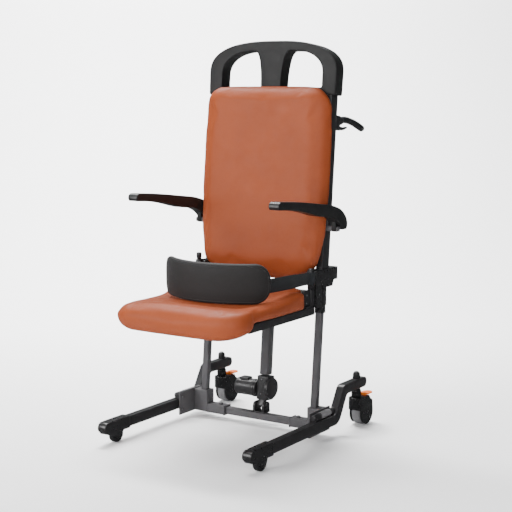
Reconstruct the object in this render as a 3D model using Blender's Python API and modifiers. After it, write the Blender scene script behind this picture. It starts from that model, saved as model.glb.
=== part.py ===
"""Transfer chair with an electric lift: a padded seat and back on a steel frame that rides on two leaning guide posts.

Metres, +Z up. The patient faces -Y, and the patient's left is +X. The floor is z = 0, and the origin lies on it under
the middle of the chair. Pieces are placed in design coordinates, which the root empty moves by FRAME_SHIFT_Y.
"""

import math

import bmesh
import bpy
from mathutils import Matrix, Vector

# ------------------------------------------------------------------ driving dimensions
FRAME_SHIFT_Y = -0.0090
LEAN_SLOPE = 0.092  # the posts, column and back lean back this far per metre of height
LEAN = math.atan(LEAN_SLOPE)

TRACK_X = 0.2456  # leg tubes, front wheels and caster stems
POST_X = 0.195  # guide posts, sleeves, uprights and push grips
POST_SIDE = 0.020
POST_WALL = 0.002
UPRIGHT_W, UPRIGHT_D = 0.024, 0.038
LEG_W, LEG_H = 0.024, 0.030
HINGE_X, HINGE_Z, HINGE_R = 0.2415, 0.075, 0.0095  # leg hinge, along Y
STEM_Y = 0.2485  # caster stems
REAR_R, REAR_Y = 0.0375, 0.276  # rear wheels
FRONT_R, FRONT_Y = 0.024, -0.280  # front wheels
LIFT_STROKE = 0.20
SEAT_HINGE = (0.1965, 0.062)  # vertical hinge of the seat, shared by the belt
ARM_X, ARM_W = 0.2375, 0.034
ARM_PIVOT = (0.1272, 0.6045)  # y, z
GAP = 0.0003
SIDES = ((1, "left"), (-1, "right"))

# ------------------------------------------------------------------ scene and helpers
for old in list(bpy.data.objects):
    bpy.data.objects.remove(old, do_unlink=True)

parts = bpy.data.collections.new("transfer_chair")
cutters = bpy.data.collections.new("cutters")
bpy.context.scene.collection.children.link(parts)
bpy.context.scene.collection.children.link(cutters)

EMPTIES = {}


def empty(name, place=(0, 0, 0), parent=None):
    """A joint's frame, at its place in design coordinates."""
    obj = bpy.data.objects.new("joint_" + name, None)
    obj.empty_display_size = 0.03
    parts.objects.link(obj)
    obj.location = place
    EMPTIES[name] = (obj, Vector(place))
    if parent:
        hold(obj, parent)
    return obj


def hold(obj, body):
    """Parents an object to a body's empty and keeps its own coordinates in the design frame."""
    parent, place = EMPTIES[body]
    obj.parent = parent
    obj.matrix_parent_inverse = Matrix.Translation(-place)


def material(name, colour, roughness, metallic=0.0):
    made = bpy.data.materials.new(name)
    made.use_nodes = True
    shader = made.node_tree.nodes["Principled BSDF"]
    shader.inputs["Base Color"].default_value = (*colour, 1)
    shader.inputs["Roughness"].default_value = roughness
    shader.inputs["Metallic"].default_value = metallic
    made.diffuse_color = (*colour, 1)
    return made


BLACK_PAINT = ((0.018, 0.018, 0.019), 0.42, 0.0)
GREY_PAINT = ((0.10, 0.10, 0.105), 0.45, 0.0)
BLACK_PLASTIC = ((0.020, 0.020, 0.021), 0.5, 0.0)
GREY_PLASTIC = ((0.055, 0.055, 0.056), 0.5, 0.0)
STEEL = ((0.42, 0.42, 0.43), 0.3, 1.0)
RUBBER_BLACK = ((0.015, 0.015, 0.015), 0.7, 0.0)
RUBBER_GREY = ((0.21, 0.21, 0.215), 0.6, 0.0)
LEATHER = ((0.45, 0.14, 0.06), 0.45, 0.0)
ORANGE = ((0.75, 0.16, 0.02), 0.45, 0.0)
WEBBING = ((0.035, 0.045, 0.05), 0.8, 0.0)
PAD_CLOTH = ((0.03, 0.029, 0.029), 0.6, 0.0)
BOARD = ((0.05, 0.05, 0.05), 0.6, 0.0)


def finish(obj, body, look=None, smooth=35):
    """Puts a piece in its collection and on its body, with its own material. Without a look it is a cutter."""
    for held in list(obj.users_collection):
        held.objects.unlink(obj)
    (parts if look else cutters).objects.link(obj)
    hold(obj, body)
    if look:
        obj.data.materials.clear()
        obj.data.materials.append(material(obj.name, *look))
    else:
        obj.hide_render = True
        obj.display_type = "WIRE"
    return obj


def from_bmesh(name, bm):
    bmesh.ops.recalc_face_normals(bm, faces=bm.faces)
    mesh = bpy.data.meshes.new(name)
    bm.to_mesh(mesh)
    bm.free()
    obj = bpy.data.objects.new(name, mesh)
    parts.objects.link(obj)
    return obj


def soften(obj, width, segments=1, angle=35):
    if width:
        bevel = obj.modifiers.new("rounded edges", "BEVEL")
        bevel.width = width
        bevel.segments = segments
        bevel.limit_method = "ANGLE"
        bevel.angle_limit = math.radians(angle)
        bevel.use_clamp_overlap = True
    return obj


def box(name, low, high, bevel=0.0, segments=1):
    """A box between two corners in design coordinates."""
    low, high = Vector(low), Vector(high)
    bm = bmesh.new()
    bmesh.ops.create_cube(bm, size=1)
    bmesh.ops.scale(bm, vec=high - low, verts=bm.verts)
    obj = from_bmesh(name, bm)
    obj.location = (low + high) / 2
    return soften(obj, bevel, segments)


def lean_y(y, z, z_of_y):
    """The y at height z on a leaning line that passes y at height z_of_y."""
    return y + LEAN_SLOPE * (z - z_of_y)


def leaning_box(name, xs, ys, z_of_ys, zs, bevel=0.0, segments=1):
    """A box that leans back with the posts: its horizontal section is xs by ys at height z_of_ys."""
    middle = (zs[0] + zs[1]) / 2
    bm = bmesh.new()
    bmesh.ops.create_cube(bm, size=1)
    size = (abs(xs[1] - xs[0]), (ys[1] - ys[0]) * math.cos(LEAN), (zs[1] - zs[0]) / math.cos(LEAN))
    bmesh.ops.scale(bm, vec=size, verts=bm.verts)
    obj = from_bmesh(name, bm)
    obj.location = ((xs[0] + xs[1]) / 2, lean_y((ys[0] + ys[1]) / 2, middle, z_of_ys), middle)
    obj.rotation_euler = (-LEAN, 0, 0)
    return soften(obj, bevel, segments)


TURN = {"X": (0, math.pi / 2, 0), "Y": (math.pi / 2, 0, 0), "Z": (0, 0, 0)}


def rod(name, axis, centre, radius, length, segments=20, bevel=0.0, tangent=False):
    """A cylinder along an axis. tangent makes its facets touch the nominal radius, as on a wheel that stands on one."""
    bm = bmesh.new()
    r = radius / math.cos(math.pi / segments) if tangent else radius
    bmesh.ops.create_cone(bm, cap_ends=True, segments=segments, radius1=r, radius2=r, depth=length)
    obj = from_bmesh(name, bm)
    obj.location = centre
    obj.rotation_euler = TURN[axis]
    return soften(obj, bevel, angle=60)


def turned(name, profile, axis, centre, steps=24, ring=False, phase=0.0):
    """A turned piece: (radius, height) points down its outer side, from top to bottom, about an axis."""
    bm = bmesh.new()
    spots = [bm.verts.new((r * math.cos(phase), r * math.sin(phase), h)) for r, h in profile]
    for a, b in zip(spots, spots[1:]):
        bm.edges.new((a, b))
    if ring:
        bm.edges.new((spots[-1], spots[0]))
    mesh = bpy.data.meshes.new(name)
    bm.to_mesh(mesh)
    bm.free()
    obj = bpy.data.objects.new(name, mesh)
    parts.objects.link(obj)
    screw = obj.modifiers.new("turn", "SCREW")
    screw.steps = steps
    screw.render_steps = steps
    screw.use_merge_vertices = True
    screw.merge_threshold = 0.00001
    obj.location = centre
    obj.rotation_euler = TURN[axis]
    return obj


def fillet(corners, steps=3):
    """A polygon's points with its corners rounded: corners are (a, b) or (a, b, radius)."""
    flat = [Vector(c[:2]) for c in corners]
    radii = [c[2] if len(c) > 2 else 0 for c in corners]
    made = []
    for i, (corner, radius) in enumerate(zip(flat, radii)):
        before, after = flat[i - 1], flat[(i + 1) % len(flat)]
        if radius <= 0:
            made.append(tuple(corner))
            continue
        to_before = (before - corner).normalized()
        to_after = (after - corner).normalized()
        half = to_before.angle(to_after) / 2
        reach = radius / math.tan(half)
        centre = corner + (to_before + to_after).normalized() * (radius / math.sin(half))
        start, end = corner + to_before * reach - centre, corner + to_after * reach - centre
        sweep = math.atan2(start.x * end.y - start.y * end.x, start.dot(end))
        for k in range(steps + 1):
            a = sweep * k / steps
            made.append(
                (
                    centre.x + start.x * math.cos(a) - start.y * math.sin(a),
                    centre.y + start.x * math.sin(a) + start.y * math.cos(a),
                )
            )
    return made


def arc(centre, radius, first, last, steps):
    """Points on an arc, in degrees from +a towards +b."""
    return [
        (
            centre[0] + radius * math.cos(math.radians(first + (last - first) * k / steps)),
            centre[1] + radius * math.sin(math.radians(first + (last - first) * k / steps)),
        )
        for k in range(steps + 1)
    ]


def soften_front(obj, width, segments=2):
    """Rounds only the edges of the outline's +thickness face, over a width near the whole thickness."""
    mesh = obj.data
    top = max(v.co.z for v in mesh.vertices)
    weights = mesh.attributes.new("bevel_weight_edge", "FLOAT", "EDGE")
    for edge in mesh.edges:
        on_top = all(mesh.vertices[i].co.z > top - 1e-6 for i in edge.vertices)
        weights.data[edge.index].value = 1.0 if on_top else 0.0
    bevel = obj.modifiers.new("crown", "BEVEL")
    bevel.width = width
    bevel.segments = segments
    bevel.limit_method = "WEIGHT"
    return obj


def outline(name, rings, facing, centre, thickness, bevel=0.0, segments=1, lean=0.0, angle=35):
    """A flat outline with its thickness, as a mesh. facing X takes (y, z) points, Y takes (x, z) and Z takes (x, y)."""
    curve = bpy.data.curves.new(name, "CURVE")
    curve.dimensions = "2D"
    curve.fill_mode = "BOTH"
    curve.extrude = thickness / 2
    for ring in rings:
        spline = curve.splines.new("POLY")
        spline.points.add(len(ring) - 1)
        for point, (a, b) in zip(spline.points, ring):
            point.co = (a, b, 0, 1)
        spline.use_cyclic_u = True
    obj = bpy.data.objects.new(name, curve)
    parts.objects.link(obj)
    obj.location = centre
    obj.rotation_euler = {
        "X": (math.pi / 2, 0, math.pi / 2),
        "Y": (math.pi / 2 - lean, 0, 0),
        "Z": (0, 0, 0),
    }[facing]
    return soften(to_mesh(obj), bevel, segments, angle)


def to_mesh(obj):
    """Makes a curve a mesh, welds its loose caps, and removes the curve."""
    bpy.context.view_layer.update()
    graph = bpy.context.evaluated_depsgraph_get()
    mesh = bpy.data.meshes.new_from_object(obj.evaluated_get(graph))
    bm = bmesh.new()
    bm.from_mesh(mesh)
    bmesh.ops.remove_doubles(bm, verts=bm.verts, dist=0.000005)
    bmesh.ops.dissolve_limit(
        bm, angle_limit=math.radians(0.5), verts=bm.verts, edges=bm.edges
    )
    bmesh.ops.recalc_face_normals(bm, faces=bm.faces)
    bm.to_mesh(mesh)
    bm.free()
    name, place, turn = obj.name, obj.location.copy(), obj.rotation_euler.copy()
    curve = obj.data
    bpy.data.objects.remove(obj, do_unlink=True)
    bpy.data.curves.remove(curve)
    made = bpy.data.objects.new(name, mesh)
    made.location, made.rotation_euler = place, turn
    parts.objects.link(made)
    return made


def tube(name, points, radius, sides=2, radii=None):
    """A round bar along a line of points, as a mesh."""
    curve = bpy.data.curves.new(name, "CURVE")
    curve.dimensions = "3D"
    curve.bevel_depth = radius
    curve.bevel_resolution = sides
    curve.use_fill_caps = True
    spline = curve.splines.new("POLY")
    spline.points.add(len(points) - 1)
    for i, (point, place) in enumerate(zip(spline.points, points)):
        point.co = (*place, 1)
        point.radius = radii[i] if radii else 1.0
    obj = bpy.data.objects.new(name, curve)
    parts.objects.link(obj)
    return to_mesh(obj)


def boolean(obj, other, operation, body):
    if other.name not in cutters.objects:
        other.name = obj.name + "_" + {"DIFFERENCE": "cut", "UNION": "add", "INTERSECT": "keep"}[operation]
        finish(other, body)
    change = obj.modifiers.new(other.name, "BOOLEAN")
    change.operation = operation
    change.solver = "EXACT"
    change.object = other
    return obj


def cut(obj, body, *others):
    for other in others:
        boolean(obj, other, "DIFFERENCE", body)
    return obj


def add(obj, body, *others):
    for other in others:
        boolean(obj, other, "UNION", body)
    return obj


# ------------------------------------------------------------------ joint frames
LEG_PIVOT = {s: (s * HINGE_X, 0.064, HINGE_Z) for s, _ in SIDES}
WHEEL_SHIFT = 0.0028  # the rear tyre's middle from its stem, the same way on both sides
empty("base")
empty("carriage", (0, 0.153, 0.385), "base")
for s, side in SIDES:
    empty("leg_" + side, LEG_PIVOT[s], "base")
    empty("front_wheel_" + side, (s * TRACK_X, FRONT_Y, FRONT_R), "leg_" + side)
    empty("caster_" + side, (s * TRACK_X, STEM_Y, 0.09), "leg_" + side)
    empty("rear_wheel_" + side, (s * TRACK_X + WHEEL_SHIFT, REAR_Y, REAR_R), "caster_" + side)
    empty("brake_" + side, (s * TRACK_X, 0.2835, 0.0845), "caster_" + side)
    empty("armrest_" + side, (s * ARM_X, *ARM_PIVOT), "carriage")
    empty("push_lever_" + side, (s * POST_X, 0.2030, 0.8890), "carriage")
empty("seat", (*SEAT_HINGE, 0.38), "carriage")
empty("belt", (*SEAT_HINGE, 0.46), "carriage")
empty("latch", (-SEAT_HINGE[0], SEAT_HINGE[1], 0.46), "carriage")
EMPTIES["base"][0].location = (0, FRAME_SHIFT_Y, 0)

# ------------------------------------------------------------------ base
CROSS_Y, CROSS_Z = (0.083, 0.108), (0.0175, 0.0375)
finish(
    box("crossbar", (-0.170, CROSS_Y[0], CROSS_Z[0]), (0.170, CROSS_Y[1], CROSS_Z[1]), 0.0018),
    "base",
    GREY_PAINT,
)

POST_Y, POST_Y_AT = 0.090, 0.088  # the posts' centre line
for s, side in SIDES:
    bracket = box(
        "corner_bracket_" + side,
        (s * 0.17825 if s > 0 else -0.2275, 0.0735, 0.017),
        (0.2275 if s > 0 else -0.17825, 0.111, 0.084),
        0.003,
        2,
    )
    plate = box("plate", (min(s * 0.2265, s * 0.2315), 0.0, 0.0162), (max(s * 0.2265, s * 0.2315), 0.1160, 0.087), 0.0012)
    collar = box("collar", (min(s * 0.1185, s * 0.181), 0.0757, 0.0157), (max(s * 0.1185, s * 0.181), 0.1095, 0.0425), 0.002)
    flange = box("flange", (min(s * 0.1155, s * 0.1205), 0.0742, 0.0142), (max(s * 0.1155, s * 0.1205), 0.1107, 0.0437), 0.0015)
    knob = rod("knob", "Z", (s * 0.1385, 0.0925, 0.0445), 0.0065, 0.006, 16)
    barrel = rod("barrel", "Y", (s * HINGE_X, 0.065, HINGE_Z), HINGE_R, 0.0560, 16)
    bridge = box("bridge", (min(s * 0.2305, s * 0.2405), 0.0372, 0.0668), (max(s * 0.2305, s * 0.2405), 0.0928, 0.0832))
    add(bracket, "base", plate, collar, flange, knob, bridge, barrel)
    cut(
        bracket,
        "base",
        box("hole", (min(s * 0.110, s * 0.1703), CROSS_Y[0] - GAP, CROSS_Z[0] - GAP), (max(s * 0.110, s * 0.1703), CROSS_Y[1] + GAP, CROSS_Z[1] + GAP)),
        rod("bore", "Y", (s * HINGE_X, 0.065, HINGE_Z), 0.0048, 0.09, 10),
        leaning_box(
            "post_hole",
            (s * POST_X - 0.0103, s * POST_X + 0.0103),
            (POST_Y - 0.0103, POST_Y + 0.0103),
            POST_Y_AT,
            (0.0447, 0.12),
        ),
    )
    finish(bracket, "base", GREY_PAINT)

    post = leaning_box(
        "guide_post_" + side,
        (s * POST_X - POST_SIDE / 2, s * POST_X + POST_SIDE / 2),
        (POST_Y - POST_SIDE / 2, POST_Y + POST_SIDE / 2),
        POST_Y_AT,
        (0.0460, 0.660),
        0.003,
        2,
    )
    inner = POST_SIDE / 2 - POST_WALL
    cut(
        post,
        "base",
        leaning_box("inside", (s * POST_X - inner, s * POST_X + inner), (POST_Y - inner, POST_Y + inner), POST_Y_AT, (0.030, 0.680)),
    )
    finish(post, "base", GREY_PAINT)

COLUMN_Y, COLUMN_Y_AT = 0.1295, 0.145
column = leaning_box("lift_column", (-0.014, 0.014), (COLUMN_Y - 0.0145, COLUMN_Y + 0.0145), COLUMN_Y_AT, (0.1475, 0.3805), 0.0025, 2)
cut(column, "base", leaning_box("bore", (-0.0115, 0.0115), (COLUMN_Y - 0.0120, COLUMN_Y + 0.0120), COLUMN_Y_AT, (0.1515, 0.40)))
finish(column, "base", GREY_PAINT)

FOOT_PIN = (0.1050, 0.0600)  # y, z
housing = leaning_box("gearbox_housing", (-0.0185, 0.0215), (0.1070, 0.1440), 0.108, (0.0720, 0.1450), 0.003, 2)
add(
    housing,
    "base",
    rod("disc", "X", (0.0205, 0.1260, 0.1080), 0.0320, 0.0130, 20, 0.002),
    outline("tab", [fillet([(0.0935, 0.0500, 0.008), (0.1165, 0.0500, 0.008), (0.1200, 0.0800), (0.1090, 0.0800)])], "X", (0, 0, 0), 0.0220),
)
cut(housing, "base", rod("eye", "X", (0, *FOOT_PIN), 0.0053, 0.06, 16))
finish(housing, "base", BLACK_PLASTIC)

motor = rod("lift_motor", "X", (-0.0563, 0.1210, 0.1040), 0.0255, 0.0750, 20, 0.0025)
add(
    motor,
    "base",
    rod("band", "X", (-0.0300, 0.1210, 0.1040), 0.0268, 0.0100, 20),
    box("boss", (-0.081, 0.108, 0.120), (-0.050, 0.134, 0.1345), 0.003),
)
finish(motor, "base", GREY_PLASTIC)

foot = box("actuator_foot", (-0.0240, 0.0845, 0.0378), (0.0240, 0.1180, 0.0412), 0.001)
lug = fillet([(0.0875, 0.0390), (0.1225, 0.0390), (0.1225, 0.0695, 0.012), (0.0875, 0.0695, 0.012)])
add(foot, "base", *[outline("lug", [lug], "X", (x, 0, 0), 0.0075) for x in (-0.0158, 0.0158)])
cut(foot, "base", rod("eye", "X", (0, *FOOT_PIN), 0.0053, 0.06, 16))
finish(foot, "base", BLACK_PAINT)
finish(
    turned("foot_pin", [(0, 0.0235), (0.0080, 0.0235), (0.0080, 0.0200), (0.0050, 0.0200), (0.0050, -0.0215), (0, -0.0215)], "X", (0, *FOOT_PIN), 16),
    "base",
    STEEL,
)

# ------------------------------------------------------------------ legs, wheels and casters
LEG_PROFILE = [
    (-0.2500, 0.0350, 0.002),
    (-0.2500, 0.0650, 0.002),
    (0.1050, 0.0650, 0.018),
    (0.1530, 0.1435, 0.022),
    (0.2920, 0.1435, 0.012),
    (0.2920, 0.1140, 0.014),
    (0.1720, 0.1140, 0.014),
    (0.1260, 0.0350, 0.040),
]
CAP_PROFILE = (
    [(-0.2320, 0.0318), (-0.2320, 0.0685), (-0.3170, 0.0685)]
    + arc((-0.3275, 0.0515), 0.0165, 75, 210, 6)
    + [(-0.3320, 0.0335)]
    + arc((FRONT_Y, 0.0265), 0.0150, 208, 332, 6)
    + [(-0.2620, 0.0318)]
)
for s, side in SIDES:
    leg_body = "leg_" + side
    leg = outline("leg_tube_" + side, [fillet(LEG_PROFILE, 3)], "X", (s * TRACK_X, 0, 0), LEG_W, 0.003, 1, angle=50)
    knuckles = [(0.0035, 0.0350), (0.0950, 0.1200)]
    for y0, y1 in knuckles:
        add(
            leg,
            leg_body,
            box("web", (min(s * 0.2350, s * 0.2490), y0 + 0.001, 0.0600), (max(s * 0.2350, s * 0.2490), y1 - 0.001, 0.0715)),
            rod("knuckle", "Y", (s * HINGE_X, (y0 + y1) / 2, HINGE_Z), HINGE_R, y1 - y0, 16),
        )
    cut(
        leg,
        leg_body,
        rod("bore", "Y", (s * HINGE_X, 0.03825, HINGE_Z), 0.0048, 0.1465, 10),
        rod("stem_hole", "Z", (s * TRACK_X, STEM_Y, 0.130), 0.0065, 0.06, 12),
    )
    finish(leg, leg_body, BLACK_PAINT)

    # A steel pin goes in from the front as far as the leg's bend, and its shallow head stays outside.
    finish(
        turned(
            "leg_hinge_pin_" + side,
            [(0, 0.0565), (0.0078, 0.0558), (0.0078, 0.0539), (0.0045, 0.0539), (0.0045, -0.0535), (0, -0.0535)],
            "Y",
            (s * HINGE_X, 0.0570, HINGE_Z),
            10,
        ),
        "base",
        STEEL,
    )

    cap = outline("leg_cap_" + side, [CAP_PROFILE], "X", (s * TRACK_X, 0, 0), 0.0310, 0.003, 1, angle=45)
    cut(
        cap,
        leg_body,
        box("socket", (s * TRACK_X - LEG_W / 2 - GAP, -0.2503, 0.0347), (s * TRACK_X + LEG_W / 2 + GAP, -0.2250, 0.0653)),
        box("slot", (s * TRACK_X - 0.0099, -0.3070, 0.0), (s * TRACK_X + 0.0099, -0.2535, 0.0525)),
    )
    add(cap, leg_body, rod("axle", "X", (s * TRACK_X, FRONT_Y, FRONT_R), 0.0036, 0.0280, 12))
    finish(cap, leg_body, BLACK_PLASTIC)

    tread = FRONT_R / math.cos(math.pi / 20)
    finish(
        turned(
            "front_wheel_" + side,
            [(0.0040, 0.0090), (tread - 0.0030, 0.0090), (tread, 0.0062), (tread, -0.0062), (tread - 0.0030, -0.0090), (0.0040, -0.0090)],
            "X",
            (s * TRACK_X, FRONT_Y, FRONT_R),
            20,
            ring=True,
            phase=math.pi / 20,
        ),
        "front_wheel_" + side,
        RUBBER_BLACK,
    )

    # Dome cap and stem: the stem runs down through the leg into the fork.
    dome = [(0.0110 * math.sin(a), 0.0455 + 0.0110 * math.cos(a)) for a in [math.radians(d) for d in (0, 30, 60, 90)]]
    finish(
        turned("caster_stem_" + side, dome + [(0.0110, 0.0338), (0.0060, 0.0338), (0.0060, -0.0340), (0, -0.0340)], "Z", (s * TRACK_X, STEM_Y, 0.110), 12),
        leg_body,
        BLACK_PAINT,
    )
    finish(
        turned(
            "swivel_head_" + side,
            [(0.0064, 0.1136), (0.0115, 0.1136), (0.0145, 0.1085), (0.0145, 0.0930), (0.0130, 0.0885), (0.0064, 0.0885)],
            "Z",
            (s * TRACK_X, STEM_Y, 0),
            14,
            ring=True,
        ),
        leg_body,
        STEEL,
    )

    # Caster housing: a hood with a round nose, and a deep cheek on each side of the wheel.
    caster = "caster_" + side
    x = s * TRACK_X
    hood = fillet(
        [
            (0.2350, 0.0480, 0.002),
            (0.2350, 0.0880, 0.003),
            (0.2885, 0.0880, 0.003),
            (0.2950, 0.0775, 0.003),
            (0.3085, 0.0705, 0.003),
            (0.3085, 0.0640, 0.003),
            (0.3040, 0.0480, 0.002),
        ],
        2,
    )
    fork = outline("caster_fork_" + side, [hood], "X", (x + 0.00285, 0, 0), 0.0433, 0.002, 1, angle=50)
    cheek = [(0.2440, 0.0700), (0.3080, 0.0700)] + arc((REAR_Y, REAR_R), 0.0355, 5, -185, 10)
    add(
        fork,
        caster,
        outline("right_cheek", [cheek], "X", (x + 0.02110, 0, 0), 0.0066, 0.001, 1, angle=50),
        outline("left_cheek", [cheek], "X", (x - 0.01550, 0, 0), 0.0064, 0.001, 1, angle=50),
        rod("nose", "Z", (x + 0.0010, 0.2435, 0.0718), 0.0178, 0.0318, 20, 0.001),
    )
    cut(
        fork,
        caster,
        rod("wheel_room", "X", (x + WHEEL_SHIFT, REAR_Y, REAR_R), 0.0397, 0.0300, 24),
        box("pedal_slot", (x - 0.0060, 0.2745, 0.0790), (x + 0.0160, 0.3200, 0.1100)),
        rod("stem_bore", "Z", (x, STEM_Y, 0.0970), 0.0065, 0.0450, 12),
    )
    add(
        fork,
        caster,
        rod("axle", "X", (x + WHEEL_SHIFT, REAR_Y, REAR_R), 0.0042, 0.0310, 12),
        rod("pedal_axle", "X", (x + 0.0050, 0.2835, 0.0845), 0.0022, 0.0300, 12),
    )
    finish(fork, caster, BLACK_PLASTIC)

    wheel = "rear_wheel_" + side
    tread = REAR_R / math.cos(math.pi / 24)
    finish(
        turned(
            "rear_tyre_" + side,
            [(0.0268, 0.0138), (tread - 0.0020, 0.0138), (tread, 0.0112), (tread, -0.0112), (tread - 0.0020, -0.0138), (0.0268, -0.0138)],
            "X",
            (x + WHEEL_SHIFT, REAR_Y, REAR_R),
            24,
            ring=True,
            phase=math.pi / 24,
        ),
        wheel,
        RUBBER_GREY,
    )
    finish(
        turned(
            "rear_hub_" + side,
            [(0.0048, 0.0133), (0.0105, 0.0133), (0.0105, 0.0095), (0.0230, 0.0095), (0.0230, 0.0133), (0.0262, 0.0133), (0.0262, -0.0133), (0.0048, -0.0133)],
            "X",
            (x + WHEEL_SHIFT, REAR_Y, REAR_R),
            16,
            ring=True,
        ),
        wheel,
        BLACK_PLASTIC,
    )
    pedal = outline(
        "brake_pedal_" + side,
        [fillet([(0.2790, 0.0805, 0.002), (0.2790, 0.0932, 0.002), (0.2890, 0.0932), (0.2880, 0.0805, 0.002)])],
        "X",
        (x + 0.0050, 0, 0),
        0.0200,
    )
    plate = [
        (x - 0.0050, 0.2800, 0.001),
        (x + 0.0235, 0.2800, 0.003),
        (x + 0.0235, 0.3070, 0.006),
        (x + 0.0150, 0.3170, 0.006),
        (x + 0.0030, 0.3150, 0.005),
        (x - 0.0050, 0.3020, 0.003),
    ]
    add(pedal, "brake_" + side, outline("plate", [fillet(plate, 2)], "Z", (0, 0, 0.09175), 0.0035, 0.0006))
    cut(pedal, "brake_" + side, rod("bore", "X", (x + 0.0050, 0.2835, 0.0845), 0.0025, 0.0400, 12))
    finish(pedal, "brake_" + side, ORANGE)

# ------------------------------------------------------------------ carriage
finish(
    leaning_box("lift_piston", (-0.0105, 0.0105), (COLUMN_Y - 0.0110, COLUMN_Y + 0.0110), COLUMN_Y_AT, (0.1545, 0.3830), 0.0015),
    "carriage",
    STEEL,
)
finish(box("carriage_beam", (-0.1822, 0.1165, 0.3850), (0.1822, 0.1660, 0.4120), 0.0020), "carriage", BLACK_PAINT)

UPRIGHT_Y, UPRIGHT_Y_AT = 0.131, 0.520  # the uprights' centre line
HANDLE_FRONT_AT_1 = 0.1515
for s, side in SIDES:
    c = "carriage"
    post_room = POST_SIDE / 2 + 0.0005
    sleeve = box("guide_sleeve_" + side, (s * POST_X - 0.0120, 0.1075, 0.3790), (s * POST_X + 0.0120, 0.1340, 0.4325), 0.002)
    add(sleeve, c, box("bush", (s * POST_X - 0.0113, 0.1045, 0.3570), (s * POST_X + 0.0113, 0.1300, 0.3800), 0.0015))
    cut(
        sleeve,
        c,
        leaning_box("bore", (s * POST_X - post_room, s * POST_X + post_room), (POST_Y - post_room, POST_Y + post_room), POST_Y_AT, (0.33, 0.46)),
    )
    finish(sleeve, c, BLACK_PLASTIC)

    # The bracket takes the upright's foot, lets the post pass, and carries the front block and the knuckle.
    profile = [
        (0.0680, 0.4445),
        (0.0680, 0.4870, 0.003),
        (0.1900, 0.4870, 0.002),
        (0.1900, 0.4500, 0.002),
        (0.1690, 0.4500),
        (0.1610, 0.4330, 0.002),
        (0.1075, 0.4330),
        (0.1075, 0.4445),
    ]
    bracket = outline("carriage_bracket_" + side, [fillet(profile, 2)], "X", (s * POST_X, 0, 0), 0.0320, 0.0012)
    kx, ky = s * SEAT_HINGE[0], SEAT_HINGE[1]
    add(
        bracket,
        c,
        box("front_block", (s * POST_X - 0.0080, 0.0740, 0.3790), (s * POST_X + 0.0140, 0.1040, 0.4500), 0.0015)
        if s > 0
        else box("front_block", (s * POST_X - 0.0140, 0.0740, 0.3790), (s * POST_X + 0.0080, 0.1040, 0.4500), 0.0015),
    )
    # The strap's loop turns round the knuckle, so the bracket only holds it above and below the strap.
    cut(bracket, c, rod("strap_room", "Z", (kx, ky, 0.4667), 0.0135, 0.0362, 20))
    add(
        bracket,
        c,
        rod("knuckle", "Z", (kx, ky, 0.4635), 0.0100, 0.0550, 20),
        box("upper_tongue", (kx - 0.0080, ky, 0.4846), (kx + 0.0080, 0.0820, 0.4907)),
        box("lower_tongue", (kx - 0.0080, ky, 0.4366), (kx + 0.0080, 0.0783, 0.4489)),
    )
    cut(
        bracket,
        c,
        rod("pin_bore", "Z", (kx, ky, 0.4635), 0.0044, 0.0800, 16),
        leaning_box("upright_seat", (s * POST_X - 0.0123, s * POST_X + 0.0123), (UPRIGHT_Y - 0.0193, UPRIGHT_Y + 0.0193), UPRIGHT_Y_AT, (0.4597, 0.52)),
        leaning_box("post_room", (s * POST_X - post_room, s * POST_X + post_room), (POST_Y - post_room, POST_Y + post_room), POST_Y_AT, (0.36, 0.50)),
    )
    finish(bracket, c, BLACK_PLASTIC)

    upright = leaning_box(
        "upright_" + side,
        (s * POST_X - UPRIGHT_W / 2, s * POST_X + UPRIGHT_W / 2),
        (UPRIGHT_Y - UPRIGHT_D / 2, UPRIGHT_Y + UPRIGHT_D / 2),
        UPRIGHT_Y_AT,
        (0.4600, 1.0160),
        0.003,
        2,
    )
    cut(
        upright,
        c,
        leaning_box("inside", (s * POST_X - 0.0106, s * POST_X + 0.0106), (UPRIGHT_Y - 0.0170, UPRIGHT_Y + 0.0170), UPRIGHT_Y_AT, (0.440, 1.040)),
    )
    finish(upright, c, BLACK_PAINT)

    # Push grip: a root block on the upright's rear face, a neck and a rounded grip that dips to the rear.
    grip_line = [(0.2050, 0.9075), (0.2300, 0.9105), (0.2550, 0.9105), (0.2780, 0.9065), (0.3000, 0.9015), (0.3220, 0.8945), (0.3400, 0.8880), (0.3520, 0.8835), (0.3570, 0.8816), (0.3600, 0.8805)]
    grip = tube(
        "push_grip_" + side,
        [(s * POST_X, y, z) for y, z in grip_line],
        0.0100,
        2,
        radii=[1.0, 1.0, 0.95, 0.95, 0.97, 1.0, 1.0, 0.95, 0.75, 0.45],
    )
    root = leaning_box("root", (s * POST_X - 0.0085, s * POST_X + 0.0085), (0.1858, 0.2125), 0.905, (0.8815, 0.9245), 0.002)
    ring = rod("collar", "Y", (s * POST_X, 0.2180, 0.9085), 0.0125, 0.0170, 20, 0.0015)
    add(grip, c, root, ring)
    cut(grip, c, box("lever_slot", (s * POST_X - 0.0046, 0.1930, 0.8700), (s * POST_X + 0.0046, 0.2200, 0.8975)))
    add(grip, c, rod("lever_axle", "X", (s * POST_X, 0.2030, 0.8890), 0.0022, 0.0150, 12))
    finish(grip, c, BLACK_PLASTIC)

    lever = outline(
        "push_lever_" + side,
        [
            arc((0.2030, 0.8890), 0.0055, 60, 300, 8)
            + [(0.2250, 0.8805), (0.2400, 0.8815), (0.2560, 0.8850), (0.2600, 0.8880), (0.2580, 0.8905), (0.2380, 0.8895), (0.2180, 0.8925)]
        ],
        "X",
        (s * POST_X, 0, 0),
        0.0080,
    )
    cut(lever, "push_lever_" + side, rod("bore", "X", (s * POST_X, 0.2030, 0.8890), 0.0026, 0.0300, 12))
    finish(lever, "push_lever_" + side, BLACK_PLASTIC)

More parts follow.
